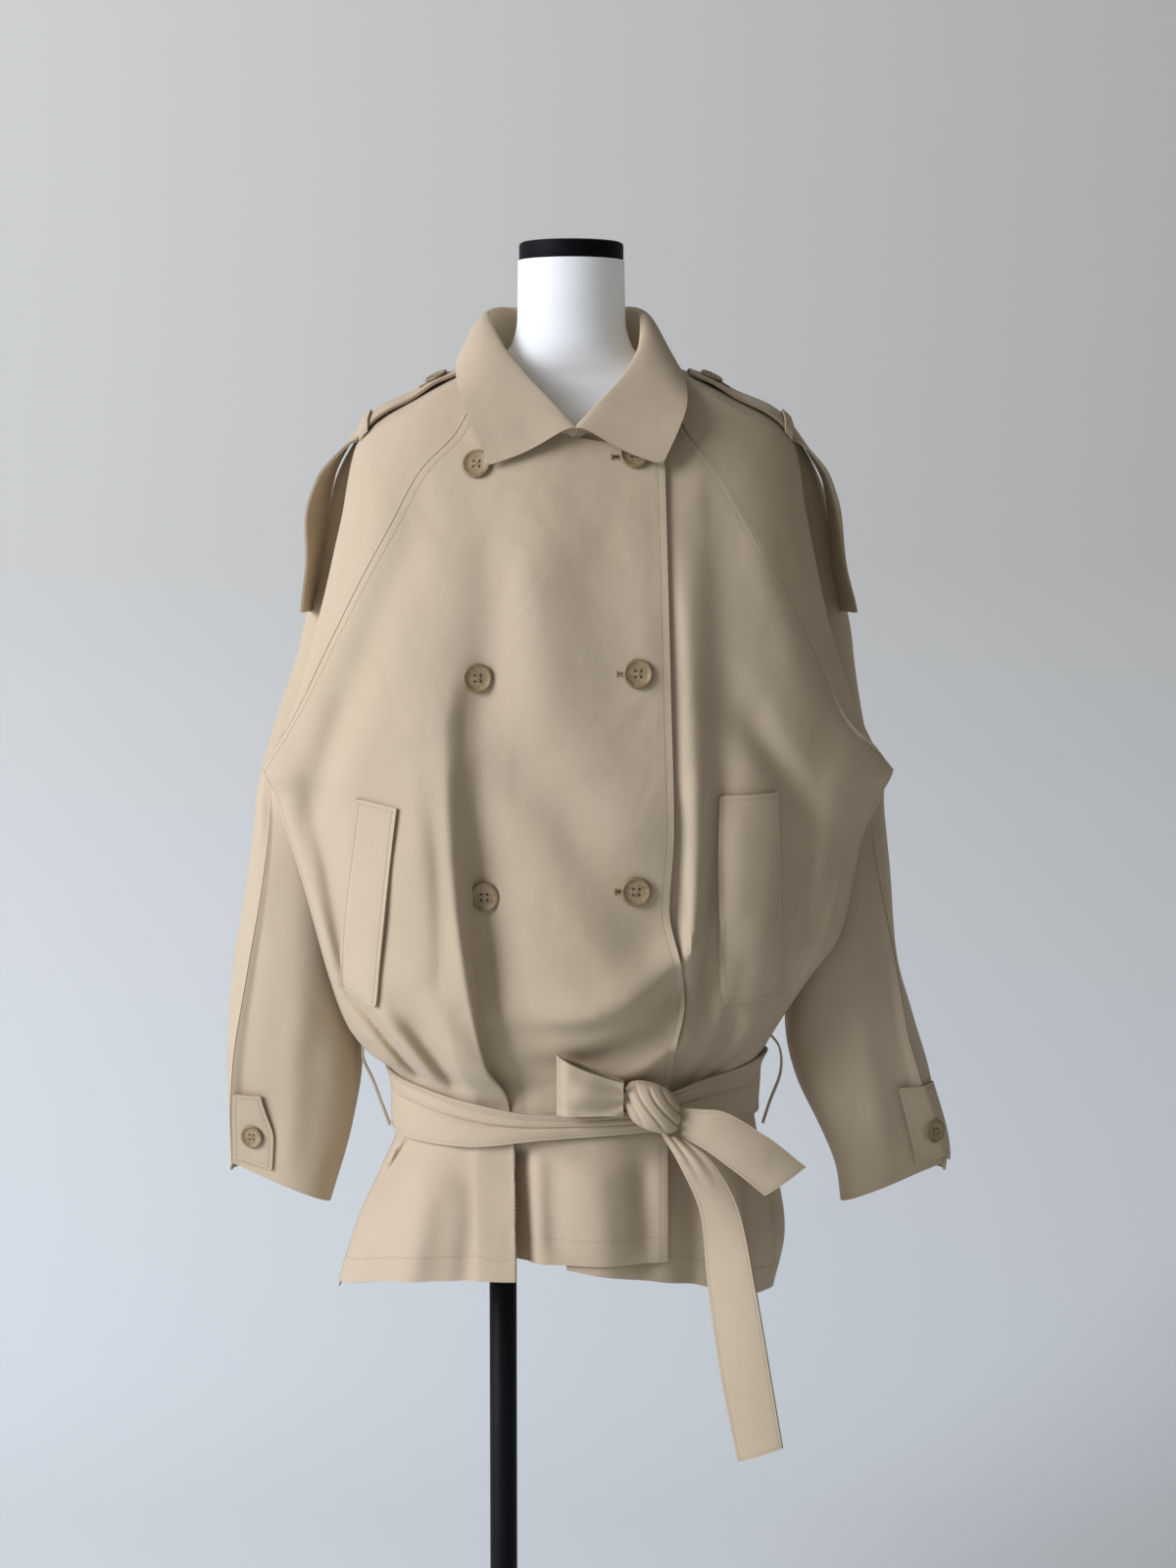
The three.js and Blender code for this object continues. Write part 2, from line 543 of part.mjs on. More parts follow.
// The sleeve's back panel, from the overarm seam (0) round to the back raglan and underarm seams (1).
function sleeveBack(side, u, v) {
  const over = overarmPoint(side, v);
  const seam = v < 0.5 ? backSeamPoint(side, v) : underarmSeamPoint(side, v);
  const z = mix(over.z, seam.z, 0.35);
  const shift = side < 0 ? 0 : lean.outer(z);
  const outer = point(side * (sleeve.x(v) + shift), sleeve.y(v), z);
  const split = 0.34;
  if (u < split) {
    const leave = point(
      mix(over.x, outer.x, 0.6), mix(over.y, outer.y, 0.2), mix(over.z, z, 0.4));
    const arrive = point(outer.x, mix(over.y, outer.y, 0.5), z);
    return bezier(over, leave, arrive, outer, u / split);
  }
  const leave = point(outer.x, outer.y + sleeve.behind(v), z);
  const arrive = point(
    seam.x - side * sleeve.inwards(v), seam.y + sleeve.backwards(v), mix(z, seam.z, 0.7));
  return bezier(outer, leave, arrive, seam, (u - split) / (1 - split));
}

// A point of the sleeve at a distance from its overarm seam: in front of it (-) or behind it (+).
function roundSleeve(side, v, distance) {
  const panel = distance < 0 ? (u) => sleeveFront(side, 1 - u, v) : (u) => sleeveBack(side, u, v);
  const step = 0.01;
  let walked = 0;
  let here = panel(0);
  for (let u = step; u <= 1; u += step) {
    const next = panel(u);
    const length = next.distanceTo(here);
    if (walked + length >= Math.abs(distance)) {
      return here.lerp(next, (Math.abs(distance) - walked) / length);
    }
    walked += length;
    here = next;
  }
  return here;
}

// Materials
const material = (color, roughness, metalness = 0) =>
  new THREE.MeshStandardMaterial({ color, roughness, metalness });
const GABARDINE = material(0xb9a688, 0.8);
const HORN = material(0x9a8163, 0.35);
const WHITE_SHELL = material(0xe6e4df, 0.55);
const BLACK_PLASTIC = material(0x15171a, 0.4);
const BLACK_STEEL = material(0x121417, 0.35, 0.6);

const coat = new THREE.Group();

function add(name, geometry, finish) {
  const mesh = new THREE.Mesh(geometry, finish);
  mesh.name = name;
  coat.add(mesh);
  return mesh;
}

function geometryOf(points, faces) {
  const geometry = new THREE.BufferGeometry();
  const flat = faces.flat().flatMap((i) => points[i].toArray());
  geometry.setAttribute("position", new THREE.Float32BufferAttribute(flat, 3));
  geometry.computeVertexNormals();
  return geometry;
}

// Moves a grid's border towards the next row inside it by lengths that may vary along the border.
function pullBack(grid, across, along, pull) {
  const shift = (i, j, k, l, by, share) => {
    const length = typeof by === "function" ? by(share) : by;
    if (!length) return;
    grid[i][j].addScaledVector(grid[k][l].clone().sub(grid[i][j]).normalize(), length);
  };
  for (let j = 0; j <= along; j += 1) {
    shift(0, j, 1, j, pull.start, j / along);
    shift(across, j, across - 1, j, pull.end, j / along);
  }
  for (let i = 0; i <= across; i += 1) {
    shift(i, 0, i, 1, pull.low, i / across);
    shift(i, along, i, along - 1, pull.high, i / across);
  }
}

// A cloth wall: surface(u, v) is its middle, and each side lies half the thickness away from it.
// Its faces follow the grid, and strips close its four edges.
function wall(name, surface, across, along, options = {}) {
  const { finish = GABARDINE, thick = CLOTH, pull = {}, lift = 0 } = options;
  const grid = [];
  for (let i = 0; i <= across; i += 1) {
    grid.push([]);
    for (let j = 0; j <= along; j += 1) grid[i].push(surface(i / across, j / along));
  }
  pullBack(grid, across, along, pull);
  const sides = [[], []];
  for (let i = 0; i <= across; i += 1) {
    for (let j = 0; j <= along; j += 1) {
      const du = grid[Math.min(i + 1, across)][j].clone().sub(grid[Math.max(i - 1, 0)][j]);
      const dv = grid[i][Math.min(j + 1, along)].clone().sub(grid[i][Math.max(j - 1, 0)]);
      const out = du.cross(dv).normalize();
      sides[0].push(grid[i][j].clone().addScaledVector(out, lift + thick / 2));
      sides[1].push(grid[i][j].clone().addScaledVector(out, lift - thick / 2));
    }
  }
  const points = sides.flat();
  const half = sides[0].length;
  const at = (i, j) => i * (along + 1) + j;
  const faces = [];
  const quad = (a, b, c, d) => faces.push([a, b, c], [a, c, d]);
  for (let i = 0; i < across; i += 1) {
    for (let j = 0; j < along; j += 1) {
      const corners = [at(i, j), at(i + 1, j), at(i + 1, j + 1), at(i, j + 1)];
      const [p, q, r, s] = corners.map((k) => points[k]);
      if (p.distanceTo(r) > q.distanceTo(s)) corners.push(corners.shift());
      const [a, b, c, d] = corners;
      faces.push([a, b, c], [a, c, d]);
      faces.push([half + a, half + c, half + b], [half + a, half + d, half + c]);
    }
  }
  for (let i = 0; i < across; i += 1) {
    quad(at(i, 0), half + at(i, 0), half + at(i + 1, 0), at(i + 1, 0));
    quad(at(i, along), at(i + 1, along), half + at(i + 1, along), half + at(i, along));
  }
  for (let j = 0; j < along; j += 1) {
    quad(at(0, j), at(0, j + 1), half + at(0, j + 1), half + at(0, j));
    quad(at(across, j), half + at(across, j), half + at(across, j + 1), at(across, j + 1));
  }
  return add(name, geometryOf(points, faces), finish);
}

// The body's panels and the sleeves
const SEAM = 0.9;
const nearUnderarm = (share, at) => SEAM + 4 * bell((share - at) / 0.04);
const deepUnderarm = (share, at) => SEAM + 14 * bell((share - at) / 0.03);
const bodyPull = (v) => nearUnderarm(v, UNDERARM_ROW);
const backPull = (v) => deepUnderarm(v, UNDERARM_ROW);
const sleevePull = (v) => nearUnderarm(v, 0.5);
const innerPull = (v) => deepUnderarm(v, 0.5);
wall("front_right", upperFront, 27, ROWS, { pull: { start: bodyPull, high: 0.4 } });
wall("front_left", underFront, 16, ROWS, { pull: { end: bodyPull, high: 0.4 } });
const CENTRE_SEAM = 0.6;
wall("back_left", (u, v) => backPanel(1 - u / 2, v), 7, ROWS, {
  pull: { start: backPull, end: CENTRE_SEAM, high: 0.4 },
});
wall("back_right", (u, v) => backPanel((1 - u) / 2, v), 7, ROWS, {
  pull: { start: CENTRE_SEAM, end: backPull, high: 0.4 },
});
for (const [side, name] of [[-1, "right"], [1, "left"]]) {
  const turn = (u) => (side < 0 ? 1 - u : u);
  const pull = { start: sleevePull, end: sleevePull, low: 0.5 };
  wall(`sleeve_${name}_front`, (u, v) => sleeveFront(side, turn(u), v), 7, SLEEVE_ROWS, { pull });
  pull[side < 0 ? "start" : "end"] = innerPull;
  wall(`sleeve_${name}_back`, (u, v) => sleeveBack(side, turn(u), v), 7, SLEEVE_ROWS, { pull });
}

// The collar: up the stand, over the roll, down the fall, on both sides of the middle.
function collarPoint(u, v) {
  const side = u < 0.5 ? -1 : 1;
  const at = u < 0.5 ? 2 * u : 2 - 2 * u;
  const mid = collar.mid(at);
  const neck = point(mid + side * collar.nx(at), collar.ny(at), collar.nz(at));
  const roll = point(mid + side * collar.rx(at), collar.ry(at), collar.rz(at));
  const edge = point(mid + side * collar.ox(at), collar.oy(at), collar.oz(at));
  const out = edge.clone().sub(neck);
  const up = roll.clone().sub(neck).normalize();
  out.addScaledVector(up, -out.dot(up)).normalize();
  const bend = COLLAR_BEND;
  const centre = roll.clone().addScaledVector(up, -bend);
  const standEnd = 0.25;
  const fallStart = 0.55;
  if (v < standEnd) return neck.lerp(centre.addScaledVector(out, -bend), v / standEnd);
  if (v < fallStart) {
    const turn = Math.PI * (1 - (v - standEnd) / (fallStart - standEnd));
    return centre.addScaledVector(out, bend * Math.cos(turn)).addScaledVector(up, bend * Math.sin(turn));
  }
  const t = (v - fallStart) / (1 - fallStart);
  return centre.addScaledVector(out, bend).lerp(edge, t).addScaledVector(out, 3 * Math.sin(Math.PI * t));
}
wall("collar", (u, v) => collarPoint(1 - u, v), 20, 9, { thick: 2 });

// A lathe-turned button: its back at the origin, its face towards +Z.
function button(name, place, out, radius, lift) {
  const rim = [[0, 0], [0.92, 0], [1, 0.1], [0.95, 0.23], [0.8, 0.23], [0.68, 0.15], [0, 0.15]];
  const profile = rim.map(([r, h]) => new THREE.Vector2(r * radius, h * radius));
  const mesh = add(name, new THREE.LatheGeometry(profile, 12).rotateX(Math.PI / 2), HORN);
  mesh.quaternion.setFromUnitVectors(point(0, 0, 1), out);
  mesh.position.copy(place).addScaledVector(out, lift);
}

// The direction out of a surface(a, b) at a place, by differences of one step.
function outOf(surface, a, b, stepA, stepB) {
  const da = surface(a + stepA, b).sub(surface(a - stepA, b));
  const db = surface(a, b + stepB).sub(surface(a, b - stepB));
  return da.cross(db).normalize();
}

const FRONT_BUTTONS = [
  ["top_right", -87, 1286, 1.9], ["middle_right", -86, 1090, 3.4], ["low_right", -79, 888, 3.6],
  ["top_left", 59, 1295, 1.1], ["middle_left", 62, 1094, 1.1], ["low_left", 60, 895, 2.4],
];
const upperPlace = (x, z) => pleated(frontPoint(x, z));
for (const [name, x, z, lift] of FRONT_BUTTONS) {
  button(`button_${name}`, upperPlace(x, z), outOf(upperPlace, x, z, 9, 9), BUTTON_RADIUS, lift);
}

// The pocket welts: each a four-cornered patch on its front, corners from the low outer one.
const WELTS = [
  ["welt_right", [-220, 793], [-180, 780], [-158, 970], [-197, 978]],
  ["welt_left", [141, 787], [195, 789], [190, 983], [137, 981]],
];
for (const [name, a, b, c, d] of WELTS) {
  const patch = (u, v) => {
    const x = mix(mix(a[0], b[0], u), mix(d[0], c[0], u), v);
    const z = mix(mix(a[1], b[1], u), mix(d[1], c[1], u), v);
    return frontPoint(x, z);
  };
  wall(name, patch, 3, 9, { thick: 2, lift: CLOTH / 2 + 1 + 1.8 });
}

// The belt round the waist, from one side of the knot to the other.
function beltPoint(u, v) {
  const turn = mix(64, 420, u);
  const angle = (turn * Math.PI) / 180;
  const out = belt.out(turn);
  const [c, s] = [Math.cos(angle), Math.sin(angle)];
  const z = mix(belt.low(turn), belt.high(turn), v);
  const reach = (c < 0 ? body.left(z) : body.right(z)) + out;
  const tip = body.tip(z);
  const front = s > 0;
  const bow = front ? (1 - Math.abs(c) ** 2.3) ** (1 / body.round(z)) : Math.abs(s);
  const depth = front ? body.front(z) - out - tip : behind.back(z) + out - tip;
  const swell = Math.sin(Math.PI * v) - belt.crease(turn) * bell((v - 0.52) / 0.14);
  return point(c * (reach + swell), tip + depth * bow + (front ? -swell : swell) * bow, z);
}
wall("belt_band", (u, v) => beltPoint(1 - u, v), 34, 4, { thick: DOUBLE_CLOTH });

// A strap between two edges that a table gives: bowed by a length across its width.
function strapPoint(table, bow, u, v) {
  const arch = bow * Math.sin(Math.PI * u);
  return point(
    mix(table.x0(v), table.x1(v), u), table.y(v) - arch, mix(table.z0(v), table.z1(v), u));
}
wall("belt_end_short", (u, v) => strapPoint(shortEnd, 5, 1 - u, v), 3, 6, { thick: DOUBLE_CLOTH });
wall("belt_end_long", (u, v) => strapPoint(longEnd, 3, u, 1 - v), 3, 12, { thick: DOUBLE_CLOTH });

// The bow's loop: from the knot to the left behind, round its end, and back to the knot in front.
function loopPoint(u, v) {
  const right = 48.9;
  const end = -12;
  const span = Math.abs(2 * u - 1);
  const layer = Math.sign(u - 0.5) * ease(0, 0.2, span);
  const x = mix(end, right, span ** 1.15);
  const low = mix(682, 683, span);
  const high = mix(743, 716, span ** 0.8);
  const z = mix(low, high, v);
  const spread = 10 * (1 - 0.45 * ease(0.5, 1, span)) * Math.sqrt(ease(0, 0.5, span) + 0.02);
  const tilt = -0.34 * Math.max(0, z - 690);
  return point(x, -145 + tilt - layer * spread - 3 * Math.sin(Math.PI * v) * layer, z);
}
wall("belt_loop", (u, v) => loopPoint(1 - u, v), 16, 3, { thick: DOUBLE_CLOTH });

// The knot: a rounded lump whose wraps run over it from the upper left to the lower right.
function knotGeometry() {
  const around = 14;
  const up = 8;
  const points = [];
  for (let j = 0; j <= up; j += 1) {
    const tilt = (Math.PI * j) / up;
    for (let i = 0; i < around; i += 1) {
      const turn = (2 * Math.PI * i) / around;
      const wrap = 1 + 0.07 * Math.cos(3.4 * tilt + 1.2 * Math.sin(turn)) * Math.sin(tilt);
      const full = Math.sin(tilt) ** 0.7 * wrap;
      const x = 26 * full * Math.cos(turn);
      const y = 19 * full * Math.sin(turn);
      const z = -23 * Math.cos(tilt);
      points.push(point(76 + x - 0.16 * z, -145 + y, 690 + z - 0.24 * x));
      if (j === 0 || j === up) break;
    }
  }
  const ring = (j, i) => 1 + (j - 1) * around + (i % around);
  const top = points.length - 1;
  const faces = [];
  for (let i = 0; i < around; i += 1) {
    faces.push([0, ring(1, i + 1), ring(1, i)], [top, ring(up - 1, i), ring(up - 1, i + 1)]);
    for (let j = 1; j < up - 1; j += 1) {
      faces.push([ring(j, i), ring(j, i + 1), ring(j + 1, i + 1)]);
      faces.push([ring(j, i), ring(j + 1, i + 1), ring(j + 1, i)]);
    }
  }
  return geometryOf(points, faces);
}
add("belt_knot", knotGeometry(), GABARDINE);

// The belt's carriers: narrow loops of cloth at the two side seams.
const CARRIERS = {
  carrier_right: [[-204, 724], [-203, 710], [-194, 690], [-186, 668], [-178, 646]],
  carrier_left: [[192, 738], [203, 722], [204, 698], [194, 670], [187, 648]],
};
for (const [name, rows] of Object.entries(CARRIERS)) {
  const path = new THREE.CatmullRomCurve3(rows.map(([x, z]) => point(x, -16, z)));
  const strip = (u, v) => path.getPoint(v).add(point(0, mix(-4, 4, u), 0));
  wall(name, strip, 1, 8, { thick: 2 });
}

// The shoulder straps: held along the shoulder as far as their loops, then hanging free.
const STRAP_HELD = 0.46;
const STRAP_START = 0.03;
const STRAP_LOOP = 0.15;
const STRAP_FRONT = -30;
const STRAP_BACK = 13;
const STRAP_CLEAR = CLOTH / 2 + GAP + DOUBLE_CLOTH / 2;
function shoulderStrap(side, u, v) {
  const distance = mix(STRAP_FRONT, STRAP_BACK, u);
  if (v <= STRAP_HELD) {
    const at = mix(STRAP_START, STRAP_LOOP, v / STRAP_HELD);
    const wave = 1 - Math.cos((4 * Math.PI * v) / STRAP_HELD);
    return roundSleeve(side, at, distance).add(point(side, -1, STRAP_CLEAR + 1.2 + wave));
  }
  const t = (v - STRAP_HELD) / (1 - STRAP_HELD);
  const flutter = 1.6 * Math.sin(9 * t) * t + fall.twist(t) * (1 - 2 * u);
  const start = roundSleeve(side, STRAP_LOOP, distance).add(point(side, -1, STRAP_CLEAR + 1.2));
  const wider = side < 0 ? 0 : 8 + 4 * t;
  const end = point(side * (fall.x(t) + flutter + wider), distance, fall.z(t));
  return start.lerp(end, ease(0, 0.25, t));
}

// A piece laid on the sleeve: distances from its overarm seam for u, shares of its length for v;
// its upper corner in front is cut off by a slant.
function onSleeve(side, corners, u, v) {
  const [near, far, low, high, cut] = corners;
  return roundSleeve(side, mix(low, high, v), mix(near + cut * ease(0.5, 1.2, v), far, u));
}

const TABS = { right: [-46, -3, 0.975, 0.835, 18], left: [-30, 24, 0.975, 0.825, 4] };
for (const [side, name] of [[-1, "right"], [1, "left"]]) {
  const turn = (u) => (side < 0 ? 1 - u : u);
  const strap = (u, v) => shoulderStrap(side, turn(1 - u), v);
  wall(`shoulder_strap_${name}`, strap, 4, 14, { thick: DOUBLE_CLOTH });
  const strapOut = outOf(strap, 0.5, 0.1, 0.2, 0.04);
  button(`button_strap_${name}`, strap(0.5, 0.11), strapOut, SMALL_BUTTON_RADIUS, 1.5);
  const loop = (u, v) => {
    const across = Math.sign(1 - 2 * u) * Math.sqrt(Math.abs(1 - 2 * u));
    const distance = mix(STRAP_FRONT - 5, STRAP_BACK + 5, (1 + (side < 0 ? across : -across)) / 2);
    const arch = 1 - Math.abs(across) ** 16;
    return roundSleeve(side, mix(0.134, 0.146, v), distance).add(point(side, -1, 2.1 + 7.4 * arch));
  };
  wall(`strap_loop_${name}`, loop, 8, 1, { thick: 1.6 });
  const tab = (u, v) => onSleeve(side, TABS[name], turn(u), v);
  const clear = side < 0 ? 0.6 : 0.9;
  wall(`cuff_tab_${name}`, tab, 4, 5, { thick: DOUBLE_CLOTH, lift: STRAP_CLEAR + clear });
  const tabOut = outOf(tab, 0.5, 0.5, 0.3, 0.3);
  button(`button_cuff_${name}`, tab(side < 0 ? 0.5 : 0.45, 0.5), tabOut, SMALL_BUTTON_RADIUS, STRAP_CLEAR + clear + 1.5 + clear / 2);
}

// The form: closed sections stacked by the table, rounder at the neck.
function formGeometry() {
  const around = 20;
  const points = [];
  for (const { z, wide, front, back, full } of FORM) {
    for (let i = 0; i < around; i += 1) {
      const angle = (2 * Math.PI * i) / around;
      const [c, s] = [Math.cos(angle), Math.sin(angle)];
      const depth = s < 0 ? front : back;
      const x = wide * Math.sign(c) * Math.abs(c) ** full;
      points.push(point(x, depth * Math.sign(s) * Math.abs(s) ** full, z));
    }
  }
  const last = FORM.length - 1;
  const bottom = points.push(point(0, 0, FORM[0].z)) - 1;
  const top = points.push(point(0, 0, FORM[last].z)) - 1;
  const at = (j, i) => j * around + (i % around);
  const faces = [];
  for (let i = 0; i < around; i += 1) {
    faces.push([bottom, at(0, i + 1), at(0, i)], [top, at(last, i), at(last, i + 1)]);
    for (let j = 0; j < last; j += 1) {
      faces.push([at(j, i), at(j, i + 1), at(j + 1, i + 1)]);
      faces.push([at(j, i), at(j + 1, i + 1), at(j + 1, i)]);
    }
  }
  return geometryOf(points, faces);
}
add("form_torso", formGeometry(), WHITE_SHELL);

// Turned parts: a profile of radius and height, spun about a line up from (x, 0, z).
function turned(name, profile, segments, x, z, finish) {
  const outline = profile.map(([r, h]) => new THREE.Vector2(r, h));
  const lathe = new THREE.LatheGeometry(outline, segments).rotateX(Math.PI / 2);
  add(name, lathe.translate(x, 0, z), finish);
}
const CAP = [[0, 0], [49, 0], [50, 1], [50, 15], [49, 16.5], [0, 17.7]];
turned("form_cap", CAP, 24, 0, 1482.3, BLACK_PLASTIC);
const poleTop = FORM_BOTTOM - BASE_HEIGHT - 0.6;
const POLE = [[0, 0], [26, 0], [26, 5], [16, 9], [POLE_RADIUS, 22], [POLE_RADIUS, poleTop], [0, poleTop]];
turned("stand_pole", POLE, 12, POLE_X, BASE_HEIGHT + 0.3, BLACK_STEEL);
const PLATE = [
  [0, 0], [BASE_RADIUS - 2, 0], [BASE_RADIUS, 2], [BASE_RADIUS, BASE_HEIGHT - 4],
  [BASE_RADIUS - 6, BASE_HEIGHT], [0, BASE_HEIGHT],
];
turned("stand_base", PLATE, 32, 0, 0, BLACK_STEEL);

export default coat;
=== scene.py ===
"""A belted short trench coat on a limbless dress form: the pieces, their finishes and the studio stage."""

import functools
import math
from types import SimpleNamespace

import bpy
import numpy as np
from bpy.props import FloatProperty, FloatVectorProperty, PointerProperty
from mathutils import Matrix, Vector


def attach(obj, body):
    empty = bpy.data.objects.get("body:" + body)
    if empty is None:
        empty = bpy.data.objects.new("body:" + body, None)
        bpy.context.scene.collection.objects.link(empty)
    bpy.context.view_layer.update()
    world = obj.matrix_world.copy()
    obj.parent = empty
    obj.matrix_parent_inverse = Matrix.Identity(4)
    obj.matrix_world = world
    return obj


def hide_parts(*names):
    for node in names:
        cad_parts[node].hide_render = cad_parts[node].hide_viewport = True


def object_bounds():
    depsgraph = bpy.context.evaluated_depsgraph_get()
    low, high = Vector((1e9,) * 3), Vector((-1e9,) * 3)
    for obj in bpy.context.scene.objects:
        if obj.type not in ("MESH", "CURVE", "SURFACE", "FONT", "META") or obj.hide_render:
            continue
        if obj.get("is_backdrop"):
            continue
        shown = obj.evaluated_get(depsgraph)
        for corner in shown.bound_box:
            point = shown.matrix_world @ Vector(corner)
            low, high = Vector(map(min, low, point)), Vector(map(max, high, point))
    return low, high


bl_info = {
    "name": "Trench Coat on a Dress Form",
    "version": (1, 0, 0),
    "blender": (4, 5, 0),
    "location": "View3D > Sidebar > Coat",
    "description": "Builds a belted trench coat, its dress form and a studio stage",
    "category": "Object",
}

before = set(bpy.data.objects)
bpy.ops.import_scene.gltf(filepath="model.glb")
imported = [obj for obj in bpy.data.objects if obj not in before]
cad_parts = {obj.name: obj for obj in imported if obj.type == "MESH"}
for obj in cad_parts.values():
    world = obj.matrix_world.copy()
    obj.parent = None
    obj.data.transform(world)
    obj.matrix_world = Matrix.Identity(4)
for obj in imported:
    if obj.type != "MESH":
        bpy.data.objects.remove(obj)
cad_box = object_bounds()

MM = 0.001
CLOTH = 1.6
DOUBLE_CLOTH = 2.4
BUTTON_RADIUS = 14.0
SMALL_BUTTON_RADIUS = 11.5
BELT_LEVEL = 680.0
HEM_LEVEL = 500.0
HEM_BACK = 488.0
UNDERARM_LEVEL = 998.0
UNDERARM_SHARE = 14 / 23
FRONT_TOP = 1303.0
NECK_BACK = 1392.0
PLEAT_HALF = 24.0
STRAP_CLEAR = 2.4
TAB_CLEAR = {-1: 0.6, 1: 0.9}
ASKEW = (0.31, 0.17, 0.93)
INNER = 1000.0
COLLAR_WAVE = 2.4
BELT_INSET = 3.0
STRAP_INSET = 4.0
HEM_STITCH = [("l", 24.0)]
CUFF_STITCH = [("h", 34.0)]
SEAM_DIP = 0.32
STITCH_DIP = 0.16
SLIT_DEPTH = 28.0
TWILL_PITCH = 0.0016
# The width of the band along edges with stitching or seams that gets painted shade and puckers
EDGE_SHADE_WIDTH = 0.001
STITCH_INSET = 7.5
PATCH_LIFT = 3.9
POLE_SHIFT = -68.0
SWEEP_HALF = 7000.0
SWEEP_BEND = 1300.0
SWEEP_DEPTH = 700.0
SWEEP_TOP = 6000.0
WINDOW = (-4.55, -2.45, 3.0)
WINDOW_TARGET = (0.0, 0.0, 0.95)
WINDOW_SIZE = 3.2
WINDOW_TINT = (0.935, 0.98, 1.13)
LENS = 66.3
EYE_SHIFT = 0.016
EYE_HEIGHT = 1.234
EYE_TILT = 5.2
SIDES = ((-1, "right"), (1, "left"))


# Small maths on whole arrays
def mix(a, b, t):
    """From a to b by the share t."""
    return a + (b - a) * t


def ease(low, high, v):
    """0 below low, 1 above high and 3t^2 - 2t^3 between."""
    t = np.clip((v - low) / (high - low), 0.0, 1.0)
    return t * t * (3 - 2 * t)


def bell(d):
    """A bump of height 1: e to the power of minus d squared."""
    return np.exp(-d * d)


def xyz(x, y, z):
    """Places from three coordinates, in millimetres."""
    return np.stack(np.broadcast_arrays(np.asarray(x, float), y, z), -1)


def unit(v):
    """Vectors of length 1."""
    return v / np.maximum(np.linalg.norm(v, axis=-1, keepdims=True), 1e-9)


def line(xs, ys):
    """A cubic between rows with the harmonic mean of two steps as its slope, so it never overshoots."""
    steps = np.diff(ys) / np.diff(xs)
    before = np.r_[steps[:1], steps]
    after = np.r_[steps, steps[-1:]]
    both = before * after
    slopes = np.where(both > 0, 2 * both / np.where(both > 0, before + after, 1), 0)

    def at(v):
        v = np.clip(v, xs[0], xs[-1])
        i = np.clip(np.searchsorted(xs, v, side="right") - 1, 0, len(xs) - 2)
        h = xs[i + 1] - xs[i]
        t = (v - xs[i]) / h
        rise = ys[i + 1] - ys[i]
        bend = (slopes[i] * h - rise) * (1 - t) - (slopes[i + 1] * h - rise) * t
        return ys[i] + rise * t + bend * t * (1 - t)

    return at


def table(text):
    """One smooth line for each named column of a table, by its first column."""
    names, *rows = (row.split() for row in text.strip().splitlines())
    data = np.array(rows, float)
    return SimpleNamespace(**{n: line(data[:, 0], data[:, k]) for k, n in enumerate(names) if k})


def bezier(a, b, c, d, t):
    """A cubic from a to d that leaves towards b and arrives from c."""
    t = np.asarray(t)[..., None]
    s = 1 - t
    return a * s ** 3 + 3 * b * s * s * t + 3 * c * s * t * t + d * t ** 3


def dents(x, z, size, seed):
    """Smooth unevenness between -1 and 1: fixed random numbers on a lattice of that size, eased between."""
    lattice = np.random.RandomState(seed).uniform(-1, 1, (64, 64))
    gx, gz = (x + 2000) / size, (z + 2000) / size
    i, j = np.floor(gx).astype(int), np.floor(gz).astype(int)
    a, b = ease(0, 1, gx - i), ease(0, 1, gz - j)
    pick = lambda k, l: lattice[(i + k) % 64, (j + l) % 64]
    return mix(mix(pick(0, 0), pick(1, 0), a), mix(pick(0, 1), pick(1, 1), a), b)


# The coat's outline by height: reach to each side, depth in the middle and at the reach, how round it turns
BODY = table("""
    z left right front tip round
    500 228 197 -152 -26 1.7
    557 207 208 -148 -22 1.8
    600 186 201 -140 -14 1.9
    640 171 181 -128 -6 2
    676 170 177 -125 -4 2
    702 175 178 -127 -6 2
    722 200 186 -139 -18 1.7
    748 217 199 -151 -34 1.5
    796 232 228 -162 -52 1.35
    840 243 257 -166 -60 1.3
    880 253 266 -167 -64 1.3
    930 268 276 -165 -62 1.3
    975 283 296 -162 -56 1.3
    998 295 307 -160 -52 1.3
    1072 262 268 -155 -56 1.5
    1148 241 244 -146 -52 1.6
    1237 220 226 -124 -40 1.7
    1300 208 216 -101 -22 1.8
    1340 188 198 -82 -10 1.8
    1392 100 104 -56 -4 1.8
""")

# The back's half section by height: how it leaves the side seam, its half width and the middle's depth
BACK = table("""
    z inwards backwards core back
    500 0 90 130 138
    600 0 74 108 124
    676 0 60 98 110
    702 0 60 104 112
    736 30 60 150 128
    796 90 40 190 140
    850 110 34 200 146
    998 124 26 200 146
    1050 84 34 170 144
    1120 50 30 130 138
    1260 45 20 90 120
    1340 30 12 50 94
    1392 20 12 30 66
""")

